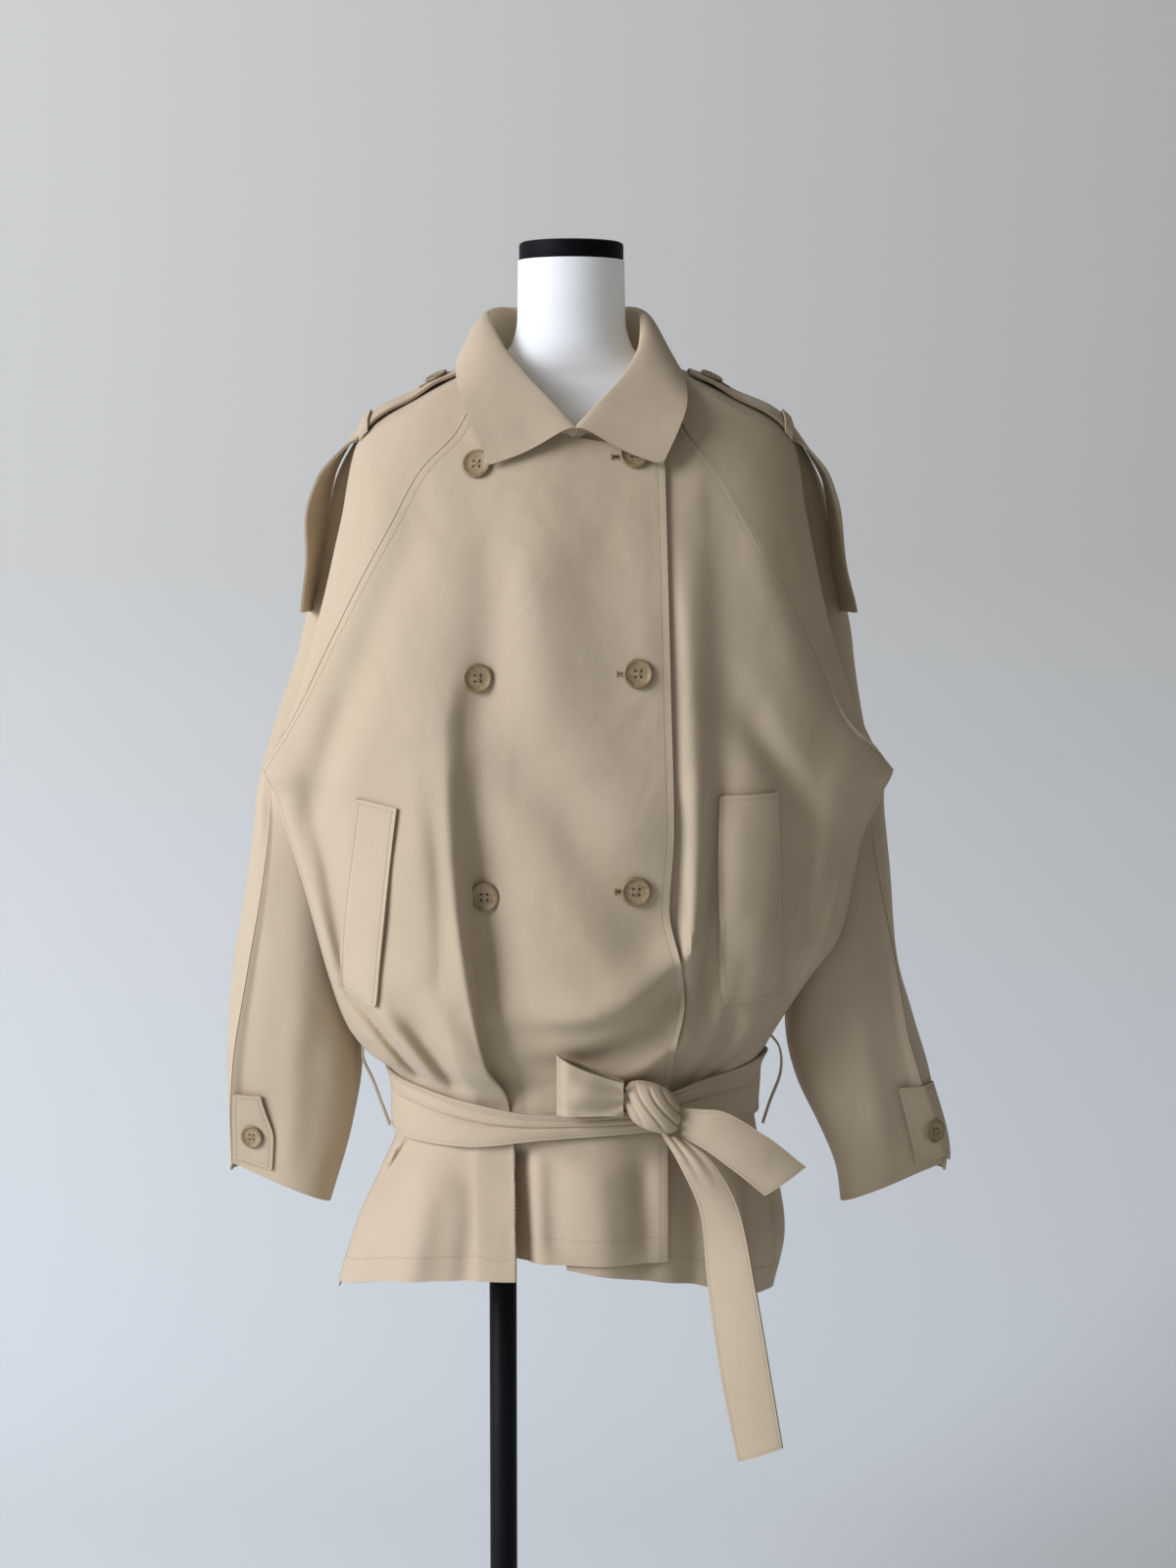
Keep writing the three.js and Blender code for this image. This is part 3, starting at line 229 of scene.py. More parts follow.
# The seams by their share of the sleeve's length
FRONT_SEAM = table("""
    at z left right
    0 1366 84 88
    0.08 1318 106 108
    0.155 1280 141 138
    0.23 1232 167 166
    0.31 1173 199 198
    0.39 1112 230 227
    0.45 1050 262 257
    0.5 998 295 307
""")
BACK_SEAM = table("""
    at x y z
    0 72 47 1388
    0.08 98 73 1350
    0.155 130 88 1304
    0.23 160 93 1250
    0.31 192 92 1188
    0.39 222 76 1116
    0.45 247 34 1052
    0.475 255 -16 1022
    0.5 295 -52 998
""")
UNDERARM_SEAM = table("""
    at x y z
    0.5 295 -52 998
    0.54 268 -28 955
    0.6 240 -10 893
    0.7 222 6 795
    0.8 208 12 706
    0.88 217 8 645
    1 239 2 567
""")
OVERARM_SEAM = table("""
    at x y z
    0 88 -2 1385
    0.08 142 -3 1359
    0.155 202 -5 1318
    0.23 212 2 1250
    0.31 228 0 1178
    0.39 250 -8 1100
    0.45 274 -12 1036
    0.5 290 -14 984
    0.54 291 -20 950
    0.6 297 -27 893
    0.7 314 -30 795
    0.8 329 -26 706
    0.88 333 -17 650
    1 333 -8 606
""")
# The sleeve's outermost line, how its back swells, how it comes to the inner seam, how its front swells
SLEEVE = table("""
    at x y behind inwards backwards forwards
    0 87 14 8 -4 -8 6
    0.08 141 24 22 -18 -12 16
    0.155 207 26 44 -30 -14 30
    0.23 239 28 54 -34 -14 34
    0.31 251 30 58 -30 -8 34
    0.39 268 32 62 -12 12 26
    0.45 289 34 70 22 48 8
    0.5 303 34 76 104 96 0
    0.54 309 34 78 86 92 10
    0.6 320 34 78 54 88 26
    0.7 335 34 72 22 78 44
    0.8 340 32 64 6 66 50
    0.88 339 30 58 4 60 46
    1 338 28 52 2 54 40
""")
# How far the sleeve at +X lies outside the mirror of the one at -X
LEAN = table("""
    z outer seam
    565 27 27
    605 33 30
    691 13 10
    743 0 2
    813 -9 2
    940 -8 -2
    984 -7 10
    1028 -6 4
    1097 6 4
    1145 11 8
    1313 11 11
    1390 2 2
""")

# The deep pleat from the middle left button to the hem
PLEAT = table("""
    z x lap rise sink
    500 -63 15 8 12
    640 -64 14 3 10
    690 -66 11 1.5 8
    728 -82 8 5 9
    806 -92 3 7 9
    898 -100 0 5 8
    960 -105 0 4 6
    1045 -106 0 3 4
    1095 -100 0 0 0
""")
FRONT_EDGE = table("""
    z x
    500 91
    660 91
    731 96
    789 106
    825 102
    876 91
    950 95
    1083 92
    1303 87
""").x
UNDER_EDGE = table("""
    z x
    500 -4
    780 -4
    980 -30
    1303 -40
""").x
HEM_RIGHT = table("""
    x z
    -240 492
    -158 518
    -62 527
    -44 541
    95 541
""").z
HEM_LEFT = table("""
    x z
    -10 536
    60 525
    127 512
    210 486
""").z

# The collar from its front end (0) to the middle of the back (1): neck seam n, roll r, outer edge o
COLLAR = table("""
    at mid nx ny nz rx ry rz ox oy oz
    0 5 1 -98 1312 0.5 -112 1319 80 -110 1286
    0.12 5 17 -92 1320 24 -101 1344 95 -105 1318
    0.26 4 44 -78 1342 47 -79 1370 104 -92 1342
    0.42 0 72 -48 1371 67 -48 1402 107 -62 1366
    0.6 -6 80 -8 1391 75 -8 1431 101 -12 1390
    0.78 -6 64 44 1396 60 42 1441 84 60 1394
    1 0 0 68 1397 0 66 1440 0 90 1388
""")

# The belt round the waist by angle: 90 at the front, 180 at -X, 270 at the back
BELT = table("""
    turn low high out crease
    64 663 683 8 2
    98 656 679 8 2
    124 646 689 7.5 3
    150 645 700 5.5 2
    180 647 705 4.5 0
    270 652 706 6 0
    360 661 722 4.5 0
    400 664 712 6 1.5
    420 666 698 8 2
""")
SHORT_END = table("""
    at x0 z0 x1 z1 y
    0 103.4 662 103.9 688 -142
    0.3 122 653 134 688 -151
    0.65 152 632 178 667 -156
    1 181 608 219 635 -154
""")
LONG_END = table("""
    at x0 z0 x1 z1 y
    0 84 666 106 658.5 -142
    0.1 101 638 129 642 -152
    0.26 122 586 157 593 -155
    0.48 129 520 172 522 -152
    0.74 141 436 187 436 -146
    1 159 343 199 366 -138
""")
STRAP_FALL = {
    -1: table("""
    at x z twist
    0 212 1317 0
    0.12 223 1300 1
    0.3 237 1272 6
    0.5 246 1238 8
    0.75 249 1192 4
    1 256 1147 2
"""),
    1: table("""
    at x z twist
    0 220 1317 0
    0.12 231 1300 1
    0.3 246 1272 2
    0.5 254 1238 4
    0.75 257 1192 5
    1 267 1147 6
"""),
}
FORM = table("""
    z wide front back full
    612 146 84 80 1
    620 154 94 88 1
    660 160 104 95 1
    720 163 107 98 1
    800 162 106 100 0.96
    900 146 100 92 0.92
    1000 126 92 84 0.9
    1090 144 104 88 0.9
    1170 160 112 92 0.88
    1240 178 92 90 0.86
    1290 184 74 78 0.86
    1328 176 56 60 0.9
    1352 150 46 50 0.94
    1370 112 46 50 1
    1383 78 50 52 1
    1402 58 53 53 1
    1425 52 50 50 1
    1482 51 50 50 1
""")


def folds(text):
    """Folds from rows of text: places x z from the upper end / reach to -x and to +x, height."""
    rows = [[np.array(part.split(), float) for part in row.split("/")] for row in text.strip().splitlines()]
    return [(places.reshape(-1, 2), *shape) for places, shape in rows]


FRONT_FOLDS = folds("""
    -108 1050 -112 980 -109 930 / 40 18 7
    -110 920 -106 880 -97 815 -84 752 -64 698 / 36 8 12
    -82 1030 -84 960 -80 898 / 14 38 -6
    -80 890 -70 806 -54 748 / 9 34 -7
    -70 1062 -20 986 36 898 / 30 34 -8
    16 1000 30 900 34 830 / 50 46 8
    -286 984 -262 900 -226 806 / 17 12 9
    -200 1100 -236 984 / 18 16 -9
    -246 984 -228 900 -216 820 / 10 18 -11
    -150 1010 -162 820 / 36 36 9
    -128 1010 -120 900 -118 830 / 10 12 -5
    -222 796 -192 764 -150 712 / 5 10 -13
    -196 788 -170 762 -134 716 / 11 8 8
    -160 780 -144 752 -116 710 / 6 11 -8
    -140 810 -110 752 -88 706 / 12 10 6
    -44 778 20 780 60 796 94 826 / 9 24 12
    -46 720 20 736 70 760 96 790 / 18 9 -11
    10 706 60 720 96 746 / 8 8 5
    104 1240 110 1100 114 990 / 12 18 7
    116 976 112 860 106 770 / 8 11 11
    134 1060 131 900 126 806 / 9 14 -11
    150 1072 200 998 / 16 16 -9
    300 984 268 900 236 826 / 12 18 9
    228 990 216 900 208 820 / 20 12 -10
    182 900 172 760 / 26 24 8
    218 826 184 768 130 712 / 9 12 9
    204 790 172 746 140 716 / 10 5 -10
    158 806 144 750 118 710 / 7 12 -8
    -124 1290 -160 1200 -190 1120 / 20 22 -4
    -150 1280 -206 1130 / 20 24 4
    -84 1262 -72 1180 -78 1080 / 22 26 -5
    -30 1270 -34 1180 -24 1080 / 30 34 5
    30 1250 44 1120 / 30 26 -3
    170 1262 208 1120 / 24 26 5
    124 1280 134 1180 142 1070 / 22 26 -5
    -148 650 -176 604 -206 568 / 4 14 -15
    -160 648 -196 590 -214 548 / 9 6 9
    -132 640 -142 570 -152 505 / 18 20 9
    -96 640 -92 570 -96 510 / 14 14 -7
    22 640 30 540 / 26 22 8
    -22 640 -16 540 / 12 14 -5
    66 640 70 540 / 12 12 -6
    118 640 116 510 / 14 14 -9
    158 640 172 500 / 16 12 9
    186 640 194 520 / 8 6 -8
""")
BACK_FOLDS = folds("""
    -30 1330 -60 1180 / 26 30 3
    50 1300 72 1120 / 28 24 -3
    -120 900 -96 742 / 18 22 5
    -58 880 -46 740 / 16 18 -5
    8 890 4 738 / 20 18 5
    66 900 52 740 / 16 20 -5
    128 880 104 742 / 22 18 5
    -180 1000 -120 860 / 24 26 -4
    182 1010 130 850 / 26 24 -4
    -90 636 -104 500 / 22 20 5
    -30 636 -34 500 / 18 20 -5
    40 636 46 500 / 22 20 5
    100 636 116 500 / 20 20 -5
""")
SLEEVE_FOLDS = {
    ("front", -1): folds("""
        -300 900 -320 780 -326 660 / 14 22 3
        -256 860 -262 760 -272 640 / 16 14 -3
    """),
    ("front", 1): folds("""
        300 920 318 790 330 660 / 20 14 3
        262 880 276 770 296 650 / 16 14 -3
        272 1060 300 950 / 14 12 -4
    """),
    ("back", -1): folds("""
        -300 1000 -270 880 / 20 24 -5
        -330 880 -300 760 -296 640 / 20 20 4
    """),
    ("back", 1): folds("""
        306 1010 280 880 / 20 24 -5
        336 880 300 740 / 20 24 4
    """),
}


def through(points, count=6):
    """A smooth line through places: each stretch is a cubic with slopes from its neighbours."""
    p = np.array(points, float)
    if len(p) < 3:
        return p
    ends = np.vstack([2 * p[0] - p[1], p, 2 * p[-1] - p[-2]])
    t = np.linspace(0, 1, count, endpoint=False)[:, None]
    parts = []
    for a, b, c, d in zip(ends[:-3], ends[1:-2], ends[2:-1], ends[3:]):
        parts.append(0.5 * (2 * b + (c - a) * t + (2 * a - 5 * b + 4 * c - d) * t ** 2
                            + (3 * b - a - 3 * c + d) * t ** 3))
    return np.vstack(parts + [p[-1:]])


def relief(x, z, lines):
    """The folds' height: a bell across each line, wide and low at its upper end, faded past its ends."""
    height = np.zeros(np.shape(x))
    for points, minus, plus, depth in lines:
        p = through(points)
        d = np.diff(p, axis=0)
        long = np.hypot(d[:, 0], d[:, 1])
        before = np.cumsum(long) - long
        rx = x[..., None] - p[:-1, 0]
        rz = z[..., None] - p[:-1, 1]
        along = (rx * d[:, 0] + rz * d[:, 1]) / long
        off = (rx * d[:, 1] - rz * d[:, 0]) / long
        over = np.maximum(0, np.maximum(-along, along - long))
        k = np.argmin(np.hypot(off, over), -1)[..., None]
        share = (before + np.clip(along, 0, long)) / long.sum()
        off, over, share = (np.take_along_axis(a, k, -1)[..., 0] for a in (off, over, share))
        width = np.where(off > 0, minus, plus) * mix(1.45, 1, ease(0, 0.5, share))
        depth = depth * mix(0.42, 1.1, ease(0, 0.42, share))
        height += depth * bell(off / width) * bell(over / (1.4 * (minus + plus)))
    return height


class Lattice:
    """Heights worked out once on a square lattice, read between its points by cubics through them."""

    def __init__(self, lines, step=2.5, low=(-330.0, 440.0), high=(335.0, 1420.0)):
        self.step, self.low = step, low
        x, z = (np.arange(low[k], high[k], step) for k in (0, 1))
        self.values = relief(*np.meshgrid(x, z, indexing="ij"), lines)

    def __call__(self, x, z):
        total = np.zeros(np.broadcast(x, z).shape)
        gx, gz = (x - self.low[0]) / self.step, (z - self.low[1]) / self.step
        i = np.clip(np.floor(gx).astype(int), 1, self.values.shape[0] - 3)
        j = np.clip(np.floor(gz).astype(int), 1, self.values.shape[1] - 3)
        parts = [[0.5 * (-t + 2 * t ** 2 - t ** 3), 0.5 * (2 - 5 * t ** 2 + 3 * t ** 3),
                  0.5 * (t + 4 * t ** 2 - 3 * t ** 3), 0.5 * (t ** 3 - t ** 2)]
                 for t in (np.clip(gx - i, 0, 1), np.clip(gz - j, 0, 1))]
        for k in range(4):
            for l in range(4):
                total = total + parts[0][k] * parts[1][l] * self.values[i + k - 1, j + l - 1]
        return total


front_relief = Lattice(FRONT_FOLDS)
back_relief = Lattice(BACK_FOLDS)


# The body
def front_depth(x, z):
    """The front's depth: a flat middle that turns a rounded corner at the reach, less the folds' height."""
    reach = np.where(x < 0, BODY.left(z), BODY.right(z))
    share = np.minimum(np.abs(x) / reach, 1)
    turn = 1 - (1 - share ** 2.3) ** (1 / BODY.round(z))
    fade = (1 - ease(0.93, 1, share)) * (1 - bell((z - BELT_LEVEL) / 22))
    return mix(BODY.front(z), BODY.tip(z), turn) - front_relief(x, z) * fade


def front_point(x, z):
    """A place on the front."""
    return xyz(x, front_depth(x, z), z)


def side_point(side, z):
    """The side seam at a height."""
    return xyz(side * (BODY.left(z) if side < 0 else BODY.right(z)), BODY.tip(z), z)


def seam_point(side, seam, at):
    """A sleeve seam's place; the sleeve at +X leans by its own table and meets its own underarm point."""
    z = seam.z(at)
    if side < 0:
        return xyz(-seam.x(at), seam.y(at), z)
    leaning = LEAN.seam if seam is OVERARM_SEAM else LEAN.outer
    x = seam.x(at) + leaning(z)
    if seam is not OVERARM_SEAM:
        here, there = side_point(1, UNDERARM_LEVEL)[0], side_point(-1, UNDERARM_LEVEL)[0]
        x = x + (here + there - leaning(UNDERARM_LEVEL)) * bell((at - 0.5) / 0.05)
    return xyz(x, seam.y(at), z)


def raglan_point(side, at):
    """The front seam between body and sleeve."""
    x = -FRONT_SEAM.left(at) if side < 0 else FRONT_SEAM.right(at)
    return front_point(x, FRONT_SEAM.z(at))


def side_seam(side, v, which):
    """The panel's outer edge: the side seam up to the underarm, then the raglan seam."""
    below = side_point(side, mix(HEM_LEVEL, UNDERARM_LEVEL, np.minimum(v / UNDERARM_SHARE, 1)))
    at = 0.5 * (1 - np.clip((v - UNDERARM_SHARE) / (1 - UNDERARM_SHARE), 0, 1))
    above = raglan_point(side, at) if which == "front" else seam_point(side, BACK_SEAM, at)
    return np.where((v < UNDERARM_SHARE)[..., None], below, above)


def middle_level(v, top):
    """The height of a row at the middle, whose last row is at top."""
    below = mix(HEM_LEVEL, UNDERARM_LEVEL, v / UNDERARM_SHARE)
    above = mix(UNDERARM_LEVEL, top, (v - UNDERARM_SHARE) / (1 - UNDERARM_SHARE))
    return np.where(v < UNDERARM_SHARE, below, above)


def skirt_level(z, hem):
    """Squeezes heights between the hem and the belt, so that the skirt ends at its own hem line."""
    scaled = mix(hem, BELT_LEVEL, (z - HEM_LEVEL) / (BELT_LEVEL - HEM_LEVEL))
    return np.where(z >= BELT_LEVEL, z, mix(z, scaled, ease(20, 60, BELT_LEVEL - z)))


def pleated(p):
    """Carries places sideways under the pleat's edge and into the depth beyond it."""
    x, y, z = p[..., 0], p[..., 1], p[..., 2]
    t = (x - PLEAT.x(z)) / PLEAT_HALF
    swing = np.sin(np.pi * np.clip(t, -1, 1)) * bell(t / 1.35)
    rise = -PLEAT.rise(z) * bell((np.minimum(t, 0) + 0.4) / 1.3)
    deep = PLEAT.sink(z) + SLIT_DEPTH * (1 - ease(620, 665, z))
    sink = deep * bell((np.maximum(t, 0) - 0.42) / mix(0.62, 0.8, ease(620, 665, z)))
    return xyz(x - 1.6 * PLEAT.lap(z) * swing, y + mix(rise, sink, ease(-0.42, 0.42, t)), z)


def upper_front(u, v):
    """The front on top, from the side at -X to its edge past the middle; its columns crowd to the pleat."""
    outer = side_seam(-1, v, "front")
    edge = middle_level(v, FRONT_TOP)
    share = u + 0.35 * np.sin(2 * np.pi * u) / (2 * np.pi)
    x = mix(outer[..., 0], FRONT_EDGE(edge), share)
    neck = -22 * ease(0.9, 1, v) * np.sin(np.pi * share ** 0.8)
    level = mix(outer[..., 2], edge, share) + neck
    p = np.where((u == 0)[..., None], outer, pleated(front_point(x, level)))
    p[..., 2] = skirt_level(level, HEM_RIGHT(x))
    return p


def under_front(u, v):
    """The front underneath, from its hidden edge to the side at +X."""
    outer = side_seam(1, v, "front")
    edge = middle_level(v, FRONT_TOP)
    share = u + 0.13 * np.sin(np.pi * u)
    x = mix(UNDER_EDGE(edge), outer[..., 0], share)
    neck = -12 * ease(0.86, 1, v) * np.sin(np.pi * share)
    level = mix(edge, outer[..., 2], share) + neck
    p = np.where((u == 1)[..., None], outer, front_point(x, level))
    hidden = 1 - ease(4, 36, x - FRONT_EDGE(level))
    p[..., 1] += hidden * (4.6 + 1.4 * ease(720, 780, level) * ease(-1010, -960, -level))
    p[..., 2] = skirt_level(level, HEM_LEFT(x))
    return p


def back_panel(u, v):
    """The back, from the side at -X to the side at +X: a cubic from each side to the middle."""
    left, right = side_seam(-1, v, "back"), side_seam(1, v, "back")
    side = np.where(u < 0.5, -1.0, 1.0)
    outer = np.where((u < 0.5)[..., None], left, right)
    top = middle_level(v, NECK_BACK)
    t = np.where(u < 0.5, 2 * u, 2 - 2 * u)
    z = outer[..., 2]
    middle = xyz(0, BACK.back(top), top)
    leave = xyz(outer[..., 0] - side * BACK.inwards(z), outer[..., 1] + BACK.backwards(z), mix(z, top, 0.3))
    arrive = xyz(side * BACK.core(z), middle[..., 1], mix(z, top, 0.8))
    p = bezier(outer, leave, arrive, middle, t)
    p[..., 1] += 5 * np.sin(p[..., 0] / 17) * bell((p[..., 2] - 750) / 46) * ease(0.3, 0.6, t)
    p[..., 1] += 6 * np.cos(p[..., 0] / 26) * bell((p[..., 2] - 520) / 60) * ease(0.3, 0.6, t)
    p[..., 1] += back_relief(p[..., 0], p[..., 2]) * ease(0.1, 0.35, t)
    p[..., 2] = skirt_level(p[..., 2], HEM_BACK)
    return p


# The sleeves
def sleeve_front(side, u, v):
    """The front panel: above the underarm it follows the body's front to its outline and turns round it."""
    over = seam_point(side, OVERARM_SEAM, v)
    forwards = SLEEVE.forwards(v)
    seam = np.where((v < 0.5)[..., None], raglan_point(side, np.minimum(v, 0.5)),
                    seam_point(side, UNDERARM_SEAM, v))
    sx, sy, sz = seam[..., 0], seam[..., 1], seam[..., 2]
    ox, oy, oz = over[..., 0], over[..., 1], over[..., 2]
    leave = xyz(sx, sy - forwards * 1.4, mix(sz, oz, 0.2))
    arrive = xyz(mix(sx, ox, 0.66), oy - forwards * 0.3, mix(sz, oz, 0.72))
    free = bezier(seam, leave, arrive, over, u)
    fold_z = mix(sz, oz, 0.6)
    reach = BODY.left(fold_z) if side < 0 else BODY.right(fold_z)
    widest = np.abs(ox) + 10 * ease(0.12, 0.2, v)
    fold_x = side * np.maximum(np.minimum(reach * 0.985, widest), np.abs(sx) + 1)
    turn = 0.62
    t = np.minimum(u / turn, 1)
    flat = front_point(mix(sx, fold_x, t), mix(sz, fold_z, t))
    fold = front_point(fold_x, fold_z)
    out = xyz(fold_x + side * 2, fold[..., 1] + 16, mix(fold_z, oz, 0.4))
    back = xyz(mix(fold_x, ox, 0.6), oy - 10, mix(fold_z, oz, 0.8))
    round_it = bezier(fold, out, back, over, np.clip((u - turn) / (1 - turn), 0, 1))
    held = np.where((u < turn)[..., None], flat, round_it)
    return np.where((v < 0.5)[..., None], mix(held, free, ease(0.4, 0.5, v)[..., None]), free)


def sleeve_back(side, u, v):
    """The back panel, from the seam over the arm round to the back raglan and underarm seams."""
    over = seam_point(side, OVERARM_SEAM, v)
    seam = np.where((v < 0.5)[..., None], seam_point(side, BACK_SEAM, np.minimum(v, 0.5)),
                    seam_point(side, UNDERARM_SEAM, v))
    z = mix(over[..., 2], seam[..., 2], 0.35)
    shift = 0 if side < 0 else LEAN.outer(z)
    outer = xyz(side * (SLEEVE.x(v) + shift), SLEEVE.y(v), z)
    split = 0.34
    leave = xyz(mix(over[..., 0], outer[..., 0], 0.6), mix(over[..., 1], outer[..., 1], 0.2),
                mix(over[..., 2], z, 0.4))
    arrive = xyz(outer[..., 0], mix(over[..., 1], outer[..., 1], 0.5), z)
    first = bezier(over, leave, arrive, outer, np.minimum(u / split, 1))
    leave = xyz(outer[..., 0], outer[..., 1] + SLEEVE.behind(v), z)
    arrive = xyz(seam[..., 0] - side * SLEEVE.inwards(v), seam[..., 1] + SLEEVE.backwards(v),
                 mix(z, seam[..., 2], 0.7))
    second = bezier(outer, leave, arrive, seam, np.clip((u - split) / (1 - split), 0, 1))
    return np.where((u < split)[..., None], first, second)


def round_sleeve(side, v, distance):
    """Places on the sleeve at distances from the seam over the arm: in front of it (-) or behind it (+)."""
    v, distance = np.broadcast_arrays(np.asarray(v, float), distance)
    u = np.linspace(0, 1, 121)
    vv, uu = v[..., None] + 0 * u, 0 * v[..., None] + u
    panels = []
    for panel in (sleeve_front(side, 1 - uu, vv), sleeve_back(side, uu, vv)):
        far = walked(panel, v.ndim)
        want = np.abs(distance)[..., None]
        k = np.clip((far < want).sum(-1) - 1, 0, len(u) - 2)[..., None]
        low, high = np.take_along_axis(far, k, -1), np.take_along_axis(far, k + 1, -1)
        share = np.clip((want - low) / np.maximum(high - low, 1e-9), 0, 1)
        a = np.take_along_axis(panel, k[..., None], -2)[..., 0, :]
        b = np.take_along_axis(panel, k[..., None] + 1, -2)[..., 0, :]
        panels.append(mix(a, b, share))
    return np.where((distance < 0)[..., None], panels[0], panels[1])


# The small pieces' surfaces
def collar_surface(u, v):
    """Up the stand, over the roll as a quarter circle, then a cubic that leaves the roll outwards and falls
    to the outer edge; the wings' front edges wave a little."""
    side = np.where(u < 0.5, -1.0, 1.0)
    at = np.where(u < 0.5, 2 * u, 2 - 2 * u)
    mid = COLLAR.mid(at)
    neck = xyz(mid + side * COLLAR.nx(at), COLLAR.ny(at), COLLAR.nz(at))
    roll = xyz(mid + side * COLLAR.rx(at), COLLAR.ry(at), COLLAR.rz(at))
    edge = xyz(mid + side * COLLAR.ox(at), COLLAR.oy(at), COLLAR.oz(at))
    up = unit(roll - neck)
    out = edge - neck
    out = unit(out - up * (out * up).sum(-1, keepdims=True))
    bend = 3.2
    centre = roll - up * bend
    stand, top = 0.25, 0.4
    first = mix(neck, centre - out * bend, np.clip(v / stand, 0, 1)[..., None])
    turn = np.pi * (1 - 0.5 * np.clip((v - stand) / (top - stand), 0, 1))[..., None]
    second = centre + out * bend * np.cos(turn) + up * bend * np.sin(turn)
    t = np.clip((v - top) / (1 - top), 0, 1) ** 1.35
    crown = centre + up * bend
    third = bezier(crown, crown + out * 7, mix(edge, crown, 0.62) + out * 6, edge, t)
    third[..., 2] += COLLAR_WAVE * np.sin(2 * np.pi * t) * bell(at / 0.12)
    return np.where((v < stand)[..., None], first, np.where((v < top)[..., None], second, third))


def belt_surface(u, v):
    """The band round the waist: the coat's own outline pushed out, with a crease along its middle."""
    turn = mix(64, 420, u)
    angle = np.radians(turn)
    c, s = np.cos(angle), np.sin(angle)
    z = mix(BELT.low(turn), BELT.high(turn), v)
    out = BELT.out(turn)
    reach = np.where(c < 0, BODY.left(z), BODY.right(z)) + out
    tip = BODY.tip(z)
    front = s > 0
    bow = np.where(front, np.maximum(1 - np.abs(c) ** 2.3, 0) ** (1 / BODY.round(z)), np.abs(s))
    depth = np.where(front, BODY.front(z) - out - tip, BACK.back(z) + out - tip)
    line = v + 0.1 * np.sin(angle * 1.6)
    crease = bell((line - 0.52) / 0.06) + 0.4 * bell((line - 0.8) / 0.05)
    swell = 1.6 * np.sin(np.pi * v) - 1.3 * BELT.crease(turn) * crease
    return xyz(c * (reach + swell), tip + depth * bow + np.where(front, -swell, swell) * bow, z)


def strap_surface(rows, bow, u, v):
    """A strap between a table's two edges: bowed by a sine, turned a little, pleated where it starts."""
    pleats = 1.4 * np.cos(5 * np.pi * u + 0.6) * (1 - ease(0.02, 0.22, v))
    turn = 15 * (1 - 2 * u) * ease(0.1, 0.5, v) * (bow < 4)
    y = rows.y(v) - bow * np.sin(np.pi * u) + turn + pleats
    return xyz(mix(rows.x0(v), rows.x1(v), u), y, mix(rows.z0(v), rows.z1(v), u))


def loop_surface(u, v):
    """The bow's loop: two layers that part from the knot and meet round its end."""
    span = np.abs(2 * u - 1)
    layer = np.sign(u - 0.5) * ease(0, 0.2, span)
    x = mix(-12, 48.9, span ** 1.15)
    z = mix(mix(682, 683, span), mix(743, 716, span ** 0.8), v)
    spread = 10 * (1 - 0.45 * ease(0.5, 1, span)) * np.sqrt(ease(0, 0.5, span) + 0.02)
    tilt = -0.34 * np.maximum(0, z - 690)
    ray = np.arctan2(z - 700, 66 - x)
    pleats = 2.4 * np.sin(10 * ray + 1.0) * ease(-14, 14, x) * ease(0.1, 0.4, span)
    return xyz(x, -145 + tilt - layer * spread - 3 * np.sin(np.pi * v) * layer - pleats, z)


def shoulder_strap(side, u, v):
    """Held along the shoulder as far as its loop, then hanging free."""
    u = 1 - u if side > 0 else u
    distance = mix(-30.0, 13.0, u)
    held = 0.46
    at = mix(0.03, 0.15, np.minimum(v / held, 1))
    wave = 1 - np.cos(4 * np.pi * v / held)
    first = round_sleeve(side, at, distance) + xyz(side, -1, STRAP_CLEAR + 1.2 + wave)
    t = np.clip((v - held) / (1 - held), 0, 1)
    fall = STRAP_FALL[side]
    flutter = 1.2 * np.sin(9 * t) * t + fall.twist(t) * (1 - 2 * u)
    start = round_sleeve(side, np.full(np.shape(v), 0.15), distance) + xyz(side, -1, STRAP_CLEAR + 1.2)
    end = xyz(side * (fall.x(t) + flutter), distance, fall.z(t))
    second = mix(start, end, ease(0, 0.25, t)[..., None])
    return np.where((v <= held)[..., None], first, second)


# Building meshes from whole arrays
def finish(name, points, faces, material, nodes, slot, uv=None, edge=None, sharp=50):
    """An object at the origin from places in millimetres; it rides the root and stands for its solids."""
    mesh = bpy.data.meshes.new(name)
    quads = np.asarray(faces, np.int32)
    mesh.vertices.add(len(points))
    mesh.vertices.foreach_set("co", (np.asarray(points) * MM).astype(np.float32).ravel())
    size = quads.shape[1]
    mesh.loops.add(quads.size)
    mesh.loops.foreach_set("vertex_index", quads.ravel())
    mesh.polygons.add(len(quads))
    mesh.polygons.foreach_set("loop_start", np.arange(0, quads.size, size, dtype=np.int32))
    mesh.update(calc_edges=True)
    mesh.validate()
    if uv is not None:
        layer = mesh.uv_layers.new(name="cloth")
        layer.data.foreach_set("uv", (uv[quads.ravel()] * MM).astype(np.float32).ravel())
    if edge is not None:
        mesh.attributes.new("edge", "FLOAT", "POINT").data.foreach_set("value", edge.astype(np.float32))
    mesh.polygons.foreach_set("use_smooth", np.ones(len(quads), bool))
    mesh.set_sharp_from_angle(angle=math.radians(sharp))
    mesh.materials.append(material)
    piece = bpy.data.objects.new(name, mesh)
    bpy.context.scene.collection.objects.link(piece)
    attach(piece, "root")
    if nodes:
        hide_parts(*nodes)
    return piece


def grid_normals(p):
    """The directions out of a grid of places, by differences between neighbours."""
    return unit(np.cross(np.gradient(p, axis=0), np.gradient(p, axis=1)))


